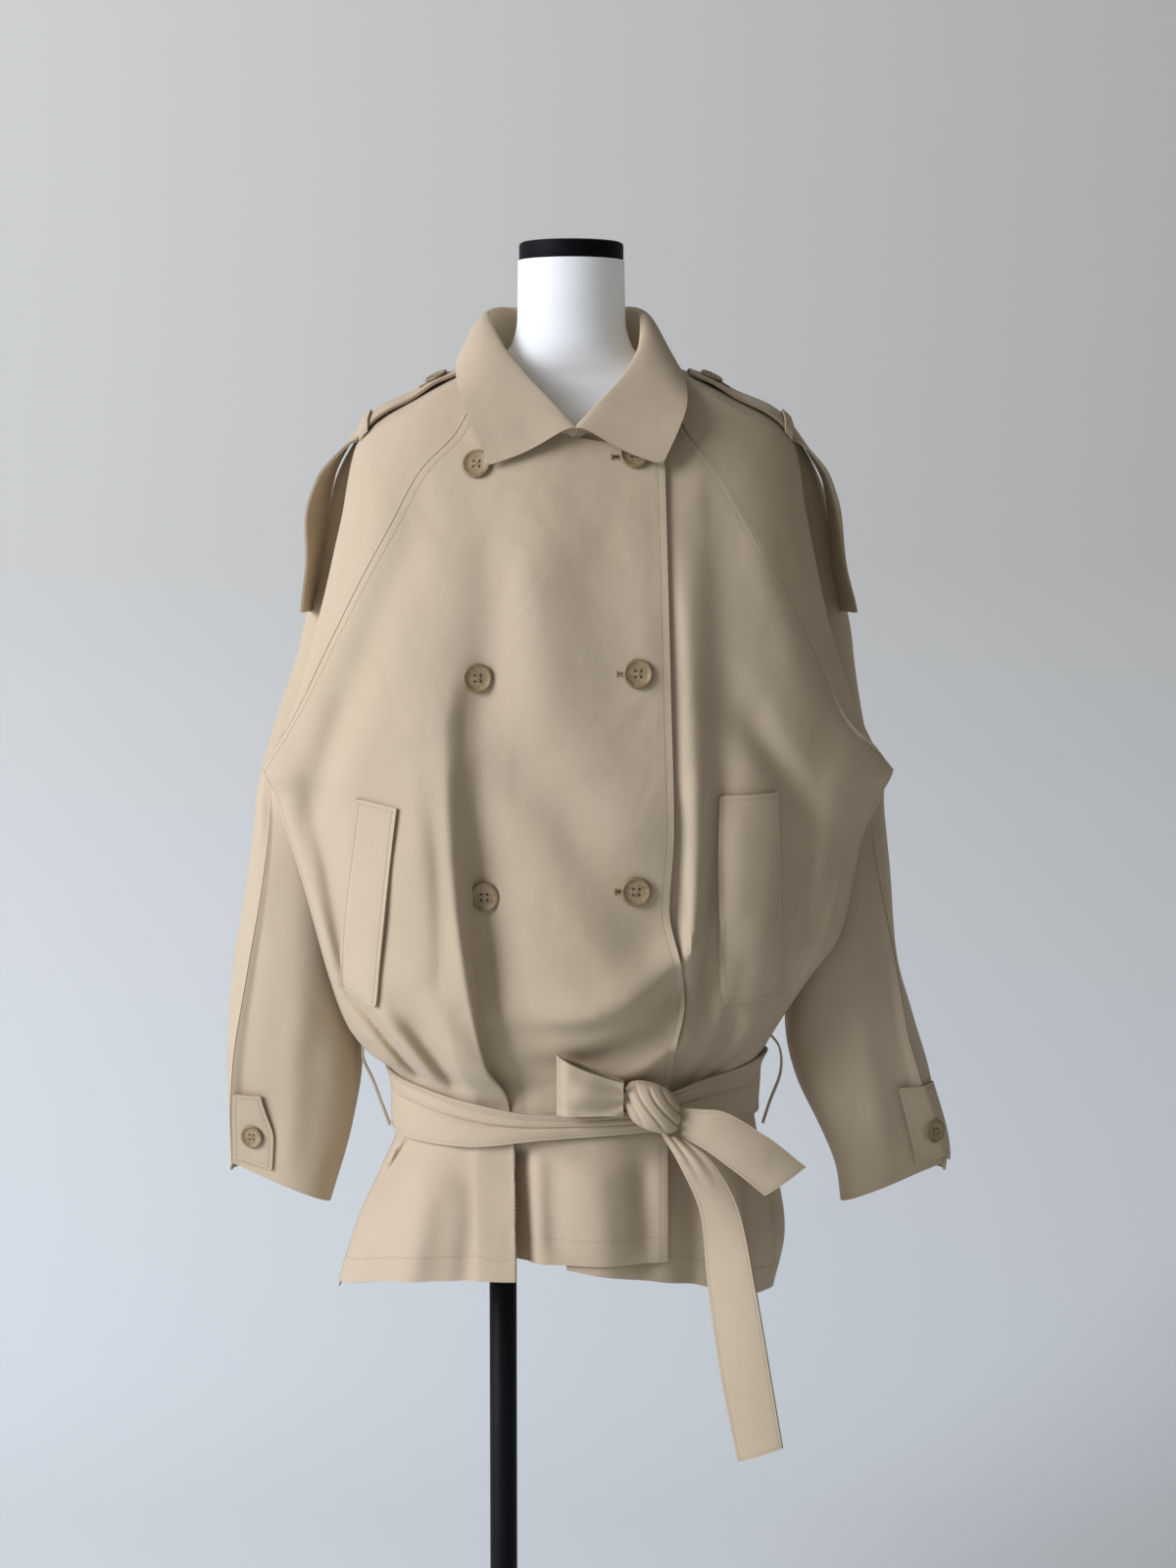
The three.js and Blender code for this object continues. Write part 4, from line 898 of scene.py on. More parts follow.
def walked(p, axis):
    """The distance along a grid's lines from their first place."""
    steps = np.linalg.norm(np.diff(p, axis=axis), axis=-1)
    start = np.zeros_like(np.take(steps, [0], axis))
    return np.concatenate([start, np.cumsum(steps, axis)], axis)


def grid(across, along):
    """The two shares on an even grid."""
    return np.meshgrid(np.linspace(0, 1, across + 1), np.linspace(0, 1, along + 1), indexing="ij")


def shell(p, out, thick, lift):
    """A closed wall round a grid: both sides, and strips of quads along its four edges."""
    rows, cols = p.shape[:2]
    k = np.arange(rows * cols).reshape(rows, cols)
    n = rows * cols
    points = np.concatenate([(p + out * (lift + thick / 2)).reshape(-1, 3),
                             (p + out * (lift - thick / 2)).reshape(-1, 3)])
    a, b, c, d = k[:-1, :-1].ravel(), k[1:, :-1].ravel(), k[1:, 1:].ravel(), k[:-1, 1:].ravel()
    faces = [np.c_[a, b, c, d], np.c_[a, d, c, b] + n]
    border = np.r_[k[:, 0], k[-1, 1:], k[-2::-1, -1], k[0, -2:0:-1]]
    after = np.roll(border, -1)
    faces.append(np.c_[after, border, border + n, after + n])
    return points, np.concatenate(faces)


def cloth(name, surface, across, along, *, thick=CLOTH, lift=0.0, stitched="", seams="", inset=STITCH_INSET,
          rough=0.0, seed=1, held="hung", rests_on=(), deep=()):
    """A cloth piece: the surface's grid as a thin wall. Its sides are s, e (where u starts and ends) and l, h
    (where v is low and high). A seam dips at its side, a stitched side gets a line of thread beside it, and
    deep lists sides with a line of thread farther in."""
    p = surface(*grid(across, along))
    wide, long = walked(p, 0), walked(p, 1)
    away = {"s": wide, "e": wide[-1:] - wide, "l": long, "h": long[:, -1:] - long}
    out = grid_normals(p)
    if rough:
        x, z = p[..., 0] + 0.6 * p[..., 1], p[..., 2]
        soft = rough * (0.7 * dents(x, z, 52, seed) + 0.3 * dents(x, z * 0.7, 23, seed + 1))
        soft = soft * np.min([ease(0, 24, d) for d in away.values()], axis=0)
        p = p + out * soft[..., None]
    dip = sum((-SEAM_DIP * bell(away[k] / 1.6) for k in seams), np.zeros_like(wide))
    dip = dip + sum((-STITCH_DIP * bell((away[k] - inset) / 1.8) for k in stitched), np.zeros_like(wide))
    p = p + out * dip[..., None]
    out = grid_normals(p)
    points, faces = shell(p, out, thick, lift)
    near = np.min([away[k] for k in stitched or seams], axis=0) if stitched or seams else wide + INNER
    flat = np.stack([wide, long], -1).reshape(-1, 2)
    piece = finish(f"{name}_cloth", points, faces, look().cloth, [name], "gabardine", np.vstack([flat, flat]),
                   np.tile(near.ravel(), 2))
    skin = p + out * (lift + thick / 2)
    threads = [thread_line(skin, out, away[k], k in "se", inset) for k in stitched]
    threads += [thread_line(skin, out, away[k], k in "se", far) for k, far in deep]
    if threads:
        sew(f"{name}_cloth_thread", threads)
    cells = np.linalg.norm(np.cross(p[1:, 1:] - p[:-1, :-1], p[:-1, 1:] - p[1:, :-1]), axis=-1) / 2
    list(rests_on)
    return piece


def thread_line(skin, out, away, along_rows, inset):
    """Places and directions on a skin at one distance from a side, one for each row or column."""
    axis = 0 if along_rows else 1
    rising = away[0, 0] < away[-1, -1] if axis == 0 else away[0, 0] < away[0, -1]
    d = away if rising else np.flip(away, axis)
    a = skin if rising else np.flip(skin, axis)
    n = out if rising else np.flip(out, axis)
    k = np.clip((d < inset).sum(axis, keepdims=True) - 1, 0, d.shape[axis] - 2)
    low, high = np.take_along_axis(d, k, axis), np.take_along_axis(d, k + 1, axis)
    share = np.clip((inset - low) / np.maximum(high - low, 1e-9), 0, 1)[..., None]
    pick = lambda g, m: np.take_along_axis(g, m[..., None], axis)
    places = mix(pick(a, k), pick(a, k + 1), share).reshape(-1, 3)
    return places, unit(mix(pick(n, k), pick(n, k + 1), share)).reshape(-1, 3)


def sew(name, lines, pitch=3.0, length=2.2, radius=0.21):
    """Stitches along lines: each is a six-sided grain, thick in its middle and pointed at its two ends."""
    pieces, faces, base = [], [], 0
    for places, out in lines:
        steps = np.r_[0, np.cumsum(np.linalg.norm(np.diff(places, axis=0), axis=1))]
        if steps[-1] < 3 * pitch:
            continue
        at = np.arange(pitch, steps[-1] - pitch, pitch)
        put = lambda s, rows: np.stack([np.interp(s, steps, row) for row in rows.T], -1)
        centre, n = put(at, places), unit(put(at, out))
        way = unit(put(at + 0.5, places) - put(at - 0.5, places))
        side = np.cross(way, n)
        turn = np.arange(6) * np.pi / 3
        ring = side[:, None] * np.cos(turn)[:, None] + n[:, None] * np.sin(turn)[:, None]
        centre = centre + n * (0.1 + 0.6 * radius)
        parts = [centre[:, None] - way[:, None] * length / 2 - n[:, None] * radius]
        parts += [centre[:, None] + way[:, None] * (s * length) + ring * radius for s in (-0.28, 0.28)]
        parts += [centre[:, None] + way[:, None] * length / 2 - n[:, None] * radius]
        pieces.append(np.concatenate(parts, 1).reshape(-1, 3))
        i, j = np.arange(6), (np.arange(6) + 1) % 6
        one = np.vstack([np.c_[0 * i, 1 + j, 1 + i, 1 + i], np.c_[1 + i, 1 + j, 7 + j, 7 + i],
                         np.c_[7 + i, 7 + j, 13 + 0 * i, 13 + 0 * i]])
        faces.append((one[None] + (base + 14 * np.arange(len(at)))[:, None, None]).reshape(-1, 4))
        base += 14 * len(at)
    if pieces:
        quads = np.concatenate(faces)
        triangles = np.concatenate([quads[:, [0, 1, 2]], quads[quads[:, 2] != quads[:, 3]][:, [0, 2, 3]]])
        finish(name, np.concatenate(pieces), triangles, look().thread, (), "gabardine", sharp=80)


# A button's profile from its back over the rim to the dish, in parts of its radius
RIM = np.array([(0.9, 0), (0.97, 0.05), (1, 0.12), (0.97, 0.2), (0.9, 0.235), (0.82, 0.225), (0.74, 0.17),
                (0.66, 0.135), (0.4, 0.125)])


def button(name, place, out, radius, lift):
    """A turned button: a raised rim round a dish, four holes as dark plugs of painted shade and two crossed
    bars of thread.
    """
    out = unit(np.asarray(out, float))
    east = unit(np.cross(xyz(0, 0, 1) if abs(out[2]) < 0.9 else xyz(0, 1, 0), out))
    north = np.cross(out, east)
    centre = np.asarray(place) + out * lift
    put = lambda x, y, h: (centre + east * x[..., None] + north * y[..., None]
                           + out * np.asarray(h)[..., None])
    turn = np.linspace(0, 2 * np.pi, 48, endpoint=False)
    wide, high = RIM.T[..., None] * radius
    body = put(wide * np.cos(turn), wide * np.sin(turn), high + 0 * turn)
    from_middle = np.r_[np.repeat(RIM[:, 0], 48), 0, 0]
    piece = finish(f"button_{name}_horn", *capped(body), look().horn, [f"button_{name}"], "horn",
                   edge=from_middle, sharp=60)
    apart, floor = 0.19 * radius, 0.125 * radius
    holes, bars = [], []
    s = np.linspace(-1, 1, 9)
    for sx in (-1, 1):
        for sy in (-1, 1):
            middle = centre + east * sx * apart + north * sy * apart
            ends = np.array([middle + out * (floor - 0.6), middle + out * (floor + 0.05)])
            holes.append(tube(ends, 0.1 * radius, 12))
        bars.append(tube(put(sx * apart * s, s * apart, floor + 0.5 * np.cos(s * 1.45) ** 0.5), 0.24))
    # Painted shade: dark closed plugs in the dish stand for the four holes
    join(f"button_{name}_horn_holes", holes, look().hole, "horn")
    join(f"button_{name}_horn_tie", bars, look().thread)
    return piece


def buttonhole(name, surface, a, b, step, way, long=24.0, lift=1.2):
    """A corded slot: a cord round a long ring, a bar across one of its ends, and a dark strip of painted
    shade inside it.
    """
    place, out = spot(surface, a, b, *step)
    ahead = spot(surface, a + way[0], b + way[1], *step)[0] - place
    east = unit(ahead - out * (ahead * out).sum())
    north = np.cross(out, east)
    turn = np.linspace(0, 2 * np.pi, 60)
    flat = lambda x, y, h: place + east * x[..., None] + north * y[..., None] + out * (lift + h)
    ring = flat(long / 2 * np.sign(np.cos(turn)) * np.abs(np.cos(turn)) ** 0.3, 1.7 * np.sin(turn), 0.0)
    bar = flat(np.full(9, -long / 2 - 0.4), np.linspace(-2.9, 2.9, 9), 0.1)
    join(f"buttonhole_{name}_cord", [tube(ring, 0.62 + 0.1 * np.cos(turn * 30)), tube(bar, 0.7)], look().cord)
    # Painted shade: a dark tube along the middle of the slot stands for the shade in its opening
    slot = flat(np.linspace(-0.44, 0.44, 12) * long, np.zeros(12), -0.25)
    join(f"buttonhole_{name}_slit_shade", [tube(slot, 0.5)], look().hole)


def capped(p):
    """A closed body from rings of places, with a point at the middle of its first and last ring."""
    rows, around = p.shape[:2]
    k = np.arange(rows * around).reshape(rows, around)
    n = np.roll(k, -1, 1)
    low = np.full(around, rows * around)
    quads = np.stack([k[:-1], n[:-1], n[1:], k[1:]], -1).reshape(-1, 4)
    triangles = [quads[:, [0, 1, 2]], quads[:, [0, 2, 3]],
                 np.c_[low, n[0], k[0]], np.c_[low + 1, k[-1], n[-1]]]
    return np.vstack([p.reshape(-1, 3), p[0].mean(0), p[-1].mean(0)]), np.vstack(triangles)


def tube(path, radius, sides=8):
    """A closed tube along places: a ring at each, square to the path."""
    way = unit(np.gradient(path, axis=0))
    side = unit(np.cross(way, ASKEW))
    other = np.cross(way, side)
    turn = np.arange(sides) * 2 * np.pi / sides
    radius = np.broadcast_to(radius, len(path))[:, None, None]
    ring = side[:, None] * np.cos(turn)[:, None] + other[:, None] * np.sin(turn)[:, None]
    return capped(path[:, None] + radius * ring)


def join(name, parts, material, slot="gabardine"):
    """One object from several closed parts of triangles."""
    starts = np.cumsum([0] + [len(p) for p, f in parts])
    faces = [f + start for (p, f), start in zip(parts, starts)]
    return finish(name, np.concatenate([p for p, f in parts]), np.concatenate(faces), material, (), slot)


# Shader arithmetic
class Value:
    """A shader socket that takes part in Python arithmetic through Math nodes."""

    def __init__(self, nodes, socket):
        self.nodes, self.socket = nodes, socket

    def math(self, kind, *others):
        return self.nodes.add("ShaderNodeMath", {"operation": kind}, dict(enumerate((self, *others))))

    def __add__(self, other):
        return self.math("ADD", other)

    def __sub__(self, other):
        return self.math("SUBTRACT", other)

    def __mul__(self, other):
        return self.math("MULTIPLY", other)

    def __truediv__(self, other):
        return self.math("DIVIDE", other)

    def __neg__(self):
        return self * -1.0

    def __rsub__(self, other):
        return -self + other

    def __rtruediv__(self, other):
        return self.nodes.add("ShaderNodeMath", {"operation": "DIVIDE"}, {0: other, 1: self})

    __radd__ = __add__
    __rmul__ = __mul__


class Nodes:
    """A material's node tree, its shader and a method that adds any node."""

    def __init__(self, name):
        self.material = bpy.data.materials.new(name)
        self.material.use_nodes = True
        self.tree = self.material.node_tree
        self.shader = self.tree.nodes["Principled BSDF"]

    def add(self, kind, settings=None, values=None, out=0):
        node = self.tree.nodes.new(kind)
        for key, setting in (settings or {}).items():
            setattr(node, key, setting)
        for key, value in (values or {}).items():
            self.put(node.inputs[key], value)
        return Value(self, node.outputs[out])

    def put(self, socket, value):
        if isinstance(value, Value):
            self.tree.links.new(value.socket, socket)
        else:
            socket.default_value = value

    def set(self, **values):
        for key, value in values.items():
            self.put(self.shader.inputs[key.replace("_", " ")], value)
        return self

    def place(self):
        return self.add("ShaderNodeTexCoord", out="Object")

    def cloth_uv(self):
        return self.add("ShaderNodeUVMap", {"uv_map": "cloth"})

    def edge(self):
        return self.add("ShaderNodeAttribute", {"attribute_name": "edge"}, out="Fac")

    def noise(self, where, scale, detail=2.0, rough=0.5, distortion=0.0):
        return self.add("ShaderNodeTexNoise", {}, {"Vector": where, "Scale": scale, "Detail": detail,
                                                  "Roughness": rough, "Distortion": distortion})

    def scaled(self, where, factors):
        return self.add("ShaderNodeVectorMath", {"operation": "MULTIPLY"}, {0: where, 1: factors})

    def part(self, where, axis):
        return self.add("ShaderNodeSeparateXYZ", {}, {0: where}, out=axis)

    def tint(self, a, b, share):
        return self.add("ShaderNodeMix", {"data_type": "RGBA"}, {0: share, 6: a, 7: b}, out=2)

    def bell(self, value, centre, width):
        """1 at the centre, falling as e to minus the square of the distance over the width."""
        d = (value - centre) / width
        return self.add("ShaderNodeMath", {"operation": "EXPONENT"}, {0: -(d * d)})

    def bump(self, height, distance, strength=1.0, normal=None):
        values = {"Height": height, "Distance": distance, "Strength": strength}
        if normal is not None:
            values["Normal"] = normal
        return self.add("ShaderNodeBump", {}, values)


def colour(red, green, blue):
    """A shader colour from display values of 0 to 255."""
    linear = [((v / 255 + 0.055) / 1.055) ** 2.4 if v > 10 else v / 255 / 12.92 for v in (red, green, blue)]
    return (*linear, 1.0)


def gabardine():
    """Twill: a fine slanting wave and slubs, uneven tone and hue, soft dents, and painted shade that darkens
    the edges with stitching or seams, which are also rougher with puckers. The edge value is a distance in
    millimetres, so cut is 1 on such an edge and 0 beside it."""
    m = Nodes("gabardine")
    uv = m.cloth_uv()
    broad = m.noise(m.place(), 5.0, 3.0)
    slub = m.noise(m.scaled(uv, (900.0, 120.0, 1.0)), 1.0, 3.0, 0.6)
    tone = (broad - 0.5) * 0.5 + (slub - 0.5) * 0.5 + 0.5
    # cut is 1 along edges with stitching or seams: it darkens the colour there as painted shade and scales
    # the puckers
    cut = m.bell(m.edge(), 0.0, EDGE_SHADE_WIDTH)
    sand = m.tint(colour(178, 160, 129), colour(194, 177, 148), tone)
    hue = m.noise(m.place(), 3.4, 2.0)
    light = m.tint(sand, colour(198, 176, 155), hue * 0.9 - 0.22)
    # Painted shade: the cloth's colour darkens to brown along edges with stitching or seams
    m.set(Base_Color=m.tint(light, colour(112, 94, 68), cut * 0.5))
    slant = (m.part(uv, "X") * 2.0 + m.part(uv, "Y")) * (2 * math.pi / TWILL_PITCH)
    twill = m.add("ShaderNodeMath", {"operation": "SINE"}, {0: slant})
    puckers = m.noise(m.scaled(uv, (160.0, 160.0, 1.0)), 1.0, 1.0) * (cut * 0.21)
    soft = m.noise(m.place(), 34.0, 2.0)
    dented = m.bump(m.noise(m.place(), 12.0, 2.0, 0.5, 0.6), 0.006, 0.45)
    first = m.bump(soft, 0.0016, 0.45, dented)
    second = m.bump(puckers, 0.0012, 0.6, first)
    m.set(Normal=m.bump(twill * 0.4 + slub, 0.00012, 0.5, second), Roughness=0.82)
    m.set(Sheen_Weight=0.12, Sheen_Roughness=0.45, Specular_IOR_Level=0.25)
    return m.material


def horn():
    """Marbled horn: brown clouds stretched and folded by noise under a clear gloss."""
    m = Nodes("horn")
    where = m.place()
    cloud = m.noise(where, 110.0, 4.0, 0.6, 1.6)
    fleck = m.noise(where, 420.0, 2.0)
    base = m.tint(colour(122, 102, 72), colour(184, 162, 124), cloud * 1.8 - 0.4)
    dark = m.tint(base, colour(92, 73, 47), fleck * 0.5 - 0.12)
    rim = m.add("ShaderNodeMapRange", {"interpolation_type": "SMOOTHSTEP"}, {0: m.edge(), 1: 0.68, 2: 0.84})
    m.set(Base_Color=m.tint(dark, colour(120, 99, 66), rim * 0.5), Roughness=0.42, Coat_Weight=0.12)
    m.set(Coat_Roughness=0.3, Specular_IOR_Level=0.35)
    return m.material


def plain(name, shade, roughness, metallic=0.0, wear=0.04, scale=40.0, specular=0.5, painted_glow=0.0):
    """A plain finish whose roughness and tone vary a little; its emission can add painted light of its own
    colour.
    """
    m = Nodes(name)
    spots = m.noise(m.place(), scale, 3.0)
    dim = tuple(c * 0.9 for c in shade[:3]) + (1.0,)
    m.set(Base_Color=m.tint(dim, shade, spots), Roughness=spots * wear + (roughness - wear / 2))
    # Painted light: the emission makes the finish glow in its own colour though it is no lamp
    m.set(Metallic=metallic, Specular_IOR_Level=specular, Emission_Color=shade, Emission_Strength=painted_glow)
    return m.material


@functools.cache
def look():
    """The finishes, made once for a build."""
    return SimpleNamespace(
        cloth=gabardine(),
        thread=plain("thread", colour(184, 165, 134), 0.75, scale=900.0),
        cord=plain("cord", colour(146, 124, 94), 0.75, scale=900.0),
        horn=horn(),
        # Painted shade: a dark brown for the plugs in the button holes and the strip in each buttonhole's
        # slot
        hole=plain("hole", colour(46, 34, 26), 0.8),
        # Painted light: the white shell glows a little, so that it looks lit deep in the collar's V
        white=plain("white_shell", colour(229, 229, 225), 0.75, scale=14.0, specular=0.3, painted_glow=0.1),
        cap=plain("cap_black", colour(5, 6, 8), 0.6, specular=0.1),
        pole=plain("pole_black", colour(11, 12, 14), 0.5, 0.3, specular=0.2),
    )


# The settings that the panel shows
class CoatSizes(bpy.types.PropertyGroup):
    """Sizes of the cloth and its stitching."""

    cloth: FloatProperty(name="Cloth", description="Thickness of one layer of cloth", default=0.0016,
                         unit="LENGTH")
    inset: FloatProperty(name="Stitch inset", description="Distance of the stitching from an edge",
                         default=0.0075, unit="LENGTH")
    dents: FloatProperty(name="Unevenness", description="Height of the cloth's small dents",
                         default=0.0011, unit="LENGTH")


class StageSizes(bpy.types.PropertyGroup):
    """The studio stage."""

    key_power: FloatProperty(name="Key light", description="Power of the large soft light", default=352.0)
    sky: FloatVectorProperty(name="Sky", description="Colour of the light all round", subtype="COLOR",
                             default=(1.0, 0.975, 0.95))
    sky_strength: FloatProperty(name="Sky strength", description="Strength of the light all round",
                                default=0.215)
    distance: FloatProperty(name="Camera distance", description="From the coat to the camera",
                            default=2.8, unit="LENGTH")


class BuildStep:
    """What all the build operators share."""

    bl_options = {"REGISTER", "UNDO"}

    def execute(self, context):
        made = self.build(context)
        if not made:
            raise RuntimeError(f"{self.bl_label} made nothing")
        return {"FINISHED"}


def panel(context, name, surface, across, along, **rest):
    """One of the coat's large panels, with the cloth that the settings give."""
    sizes = context.scene.coat_sizes
    return cloth(name, surface, across, along, thick=sizes.cloth / MM, rough=sizes.dents / MM,
                 rests_on=["form_shell"], **rest)


class COAT_OT_fronts(BuildStep, bpy.types.Operator):
    """Builds the two front panels."""

    bl_idname = "coat.fronts"
    bl_label = "Fronts"

    def build(self, context):
        rest = dict(deep=HEM_STITCH, inset=context.scene.coat_sizes.inset / MM)
        return [
            panel(context, "front_right", upper_front, 170, 190, stitched="es", seams="s", seed=3, **rest),
            panel(context, "front_left", under_front, 110, 190, stitched="e", seams="e", seed=5, **rest),
        ]


class COAT_OT_back(BuildStep, bpy.types.Operator):
    """Builds the back's two halves."""

    bl_idname = "coat.back"
    bl_label = "Back"

    def build(self, context):
        left, right = lambda u, v: back_panel(1 - u / 2, v), lambda u, v: back_panel((1 - u) / 2, v)
        rest = dict(seams="se", deep=HEM_STITCH)
        return [panel(context, "back_left", left, 70, 150, stitched="se", seed=7, **rest),
                panel(context, "back_right", right, 70, 150, stitched="e", seed=9, **rest)]


class COAT_OT_sleeves(BuildStep, bpy.types.Operator):
    """Builds the front and back panel of both sleeves."""

    bl_idname = "coat.sleeves"
    bl_label = "Sleeves"

    def build(self, context):
        made = []
        for side, word in SIDES:
            for half, base in (("front", sleeve_front), ("back", sleeve_back)):
                def folded(u, v):
                    u = 1 - u if side < 0 else u
                    p = base(side, u, v)
                    height = relief(p[..., 0], p[..., 2], SLEEVE_FOLDS[half, side])
                    height = height * ease(0, 0.08, u) * ease(0, 0.08, 1 - u)
                    return p + grid_normals(p) * height[..., None]
                made.append(panel(context, f"sleeve_{word}_{half}", folded, 64, 150, seams="se",
                                  deep=CUFF_STITCH, seed=11 + side))
        return made


class COAT_OT_collar(BuildStep, bpy.types.Operator):
    """Builds the collar."""

    bl_idname = "coat.collar"
    bl_label = "Collar"

    def build(self, context):
        return cloth("collar", lambda u, v: collar_surface(1 - u, v), 160, 40, thick=2.0, stitched="hse",
                     held="folded", rests_on=["front_right_cloth"], rough=0.5, seed=17)


# The corners of the pocket welts, and the middle line of the belt carriers, by x and z
WELTS = {
    "right": ((-220, 793), (-180, 780), (-158, 970), (-197, 978)),
    "left": ((141, 787), (195, 789), (190, 983), (137, 981)),
}
CARRIERS = {
    "right": ((-204, 724), (-203, 710), (-194, 690), (-186, 668), (-178, 646)),
    "left": ((192, 738), (203, 722), (204, 698), (194, 670), (187, 648)),
}


class COAT_OT_welts(BuildStep, bpy.types.Operator):
    """Builds the two pocket welts."""

    bl_idname = "coat.welts"
    bl_label = "Pocket welts"

    def build(self, context):
        made = []
        for word, corners in WELTS.items():
            def patch(u, v):
                return front_point(*(mix(mix(a, b, u), mix(d, c, u), v) for a, b, c, d in zip(*corners)))
            made.append(cloth(f"welt_{word}", patch, 24, 70, thick=2.6, lift=PATCH_LIFT, stitched="selh",
                              inset=4.5, held="laid", rests_on=[f"front_{word}_cloth"]))
        return made


class COAT_OT_belt(BuildStep, bpy.types.Operator):
    """Builds the belt: band, bow loop, knot, both ends and the carriers."""

    bl_idname = "coat.belt"
    bl_label = "Belt"

    def build(self, context):
        belt = dict(thick=DOUBLE_CLOTH, inset=BELT_INSET)
        tied = dict(belt, rests_on=["belt_knot_cloth"])
        made = [
            cloth("belt_band", lambda u, v: belt_surface(1 - u, v), 300, 36,
                  stitched="lh", rough=0.9, seed=21, rests_on=["front_right_cloth"], **belt),
            cloth("belt_end_short", lambda u, v: strap_surface(SHORT_END, 5, 1 - u, v), 20, 60,
                  stitched="seh", **tied),
            cloth("belt_end_long", lambda u, v: strap_surface(LONG_END, 3, u, 1 - v), 20, 140,
                  stitched="sel", **tied),
            cloth("belt_loop", lambda u, v: loop_surface(1 - u, v), 80, 24,
                  stitched="lh", held="folded", **tied),
            knot_piece(),
        ]
        for word, places in CARRIERS.items():
            path = through(places, 12)

            def strip(u, v):
                k = np.arange(len(path))
                x, z = (np.interp(v * (len(path) - 1), k, path[:, n]) for n in (0, 1))
                return xyz(x, -16 + mix(-4, 4, u), z)
            made.append(cloth(f"carrier_{word}", strip, 4, 48, thick=2.0, rests_on=[f"back_{word}_cloth"]))
        return made


def knot_piece():
    """The knot: a lump whose wraps run over it as ridges, from the upper left to the lower right."""
    u, v = (share[:-1].T for share in grid(160, 90))
    turn, tilt = -2 * np.pi * u, np.pi * mix(0.012, 0.988, v)
    full = np.sin(tilt) ** 0.62
    x, y, z = 26 * full * np.cos(turn), 19 * full * np.sin(turn), -23 * np.cos(tilt)
    lane = (0.86 * x + 0.42 * z + 0.01 * x * z + 3 * np.sin(z / 9) + 4) / 13.5
    groove = bell((lane - np.round(lane)) / 0.14)
    shrink = 1 - (0.11 * groove - 0.035) * full
    points, triangles = capped(xyz(76 + x * shrink - 0.1 * z, -145 + y * shrink, 690 + z - 0.24 * x))
    uv = np.vstack([np.stack([u * 150, v * 90], -1).reshape(-1, 2), [[0, 0], [0, 90]]])
    piece = finish("belt_knot_cloth", points, triangles, look().cloth, ["belt_knot"], "gabardine", uv,
                   np.full(len(points), INNER))
    return piece


# A cuff tab's distances from the seam over the arm, its shares of the sleeve's length and its slanted corner
TABS = {-1: (-46, -3, 0.975, 0.835, 18), 1: (-30, 24, 0.975, 0.825, 4)}


def tab_surface(side, u, v):
    """A patch round the cuff, with the upper front corner slanted off."""
    near, far, low, high, cut = TABS[side]
    across = mix(near + cut * ease(0.5, 1.2, v), far, 1 - u if side < 0 else u)
    return round_sleeve(side, mix(low, high, v), across)


class COAT_OT_straps(BuildStep, bpy.types.Operator):
    """Builds the shoulder straps with their loops, and the cuff tabs."""

    bl_idname = "coat.straps"
    bl_label = "Straps and tabs"

    def build(self, context):
        made = []
        for side, word in SIDES:
            def loop(u, v):
                across = np.sign(1 - 2 * u) * np.sqrt(np.abs(1 - 2 * u))
                distance = mix(-35.0, 18.0, (1 + (across if side < 0 else -across)) / 2)
                over = 2.1 + 7.4 * (1 - np.abs(across) ** 16)
                return round_sleeve(side, mix(0.134, 0.146, v), distance) + xyz(side, -1, over)

            held = dict(rests_on=[f"sleeve_{word}_front_cloth"])
            flat = dict(held, thick=DOUBLE_CLOTH, inset=STRAP_INSET)
            made += [
                cloth(f"shoulder_strap_{word}", lambda u, v: shoulder_strap(side, u, v), 16, 110,
                      stitched="seh", **flat),
                cloth(f"strap_loop_{word}", loop, 60, 4, **held),
                cloth(f"cuff_tab_{word}", lambda u, v: tab_surface(side, u, v), 30, 44,
                      stitched="selh", lift=STRAP_CLEAR + TAB_CLEAR[side], **flat),
            ]
        return made


# The front buttons by x, z and lift, and the front buttonholes by x and z
FRONT_BUTTONS = (
    ("top_right", -87, 1286, 1.9), ("middle_right", -86, 1090, 3.0), ("low_right", -79, 888, 3.4),
    ("top_left", 59, 1295, 1.6), ("middle_left", 62, 1094, 1.6), ("low_left", 60, 895, 2.4),
)
BUTTONHOLES = (("top", 50, 1293), ("middle", 55, 1094), ("low", 53, 895))


class COAT_OT_buttons(BuildStep, bpy.types.Operator):
    """Builds the buttons and the buttonholes."""

    bl_idname = "coat.buttons"
    bl_label = "Buttons"

    def build(self, context):
        front = lambda a, b: pleated(front_point(a, b))
        made = [button(name, *spot(front, x, z, 9, 9), BUTTON_RADIUS, lift)
                for name, x, z, lift in FRONT_BUTTONS]
        for name, x, z in BUTTONHOLES:
            buttonhole(name, front, x, z, (9, 9), (3, 0))
        for side, word in SIDES:
            strap, tab = (functools.partial(surface, side) for surface in (shoulder_strap, tab_surface))
            buttonhole(f"strap_{word}", strap, 0.5, 0.15, (0.2, 0.04), (0, -0.03), 20.0, 1.6)
            made.append(button(f"strap_{word}", *spot(strap, 0.5, 0.11, 0.2, 0.04), SMALL_BUTTON_RADIUS, 1.5))
            middle, clear = 0.5 if side < 0 else 0.45, TAB_CLEAR[side]
            made.append(button(f"cuff_{word}", *spot(tab, middle, 0.5, 0.3, 0.3), SMALL_BUTTON_RADIUS,
                               STRAP_CLEAR + clear + 1.5 + clear / 2))
        return made


def spot(surface, a, b, da, db):
    """A place on a surface and the direction out of it."""
    f = lambda p, q: surface(np.array([float(p)]), np.array([float(q)]))[0]
    return f(a, b), unit(np.cross(f(a + da, b) - f(a - da, b), f(a, b + db) - f(a, b - db)))


def revolved(name, profile, centre, material, nodes, slot, around=96):
    """A closed body of revolution: a profile of radius and height round an upright line."""
    r, h = np.array(profile, float).T[..., None]
    turn = np.linspace(0, 2 * np.pi, around, endpoint=False)
    p = xyz(centre + r * np.cos(turn), r * np.sin(turn), h + 0 * turn)
    return finish(name, *capped(p), material, nodes, slot, sharp=40)


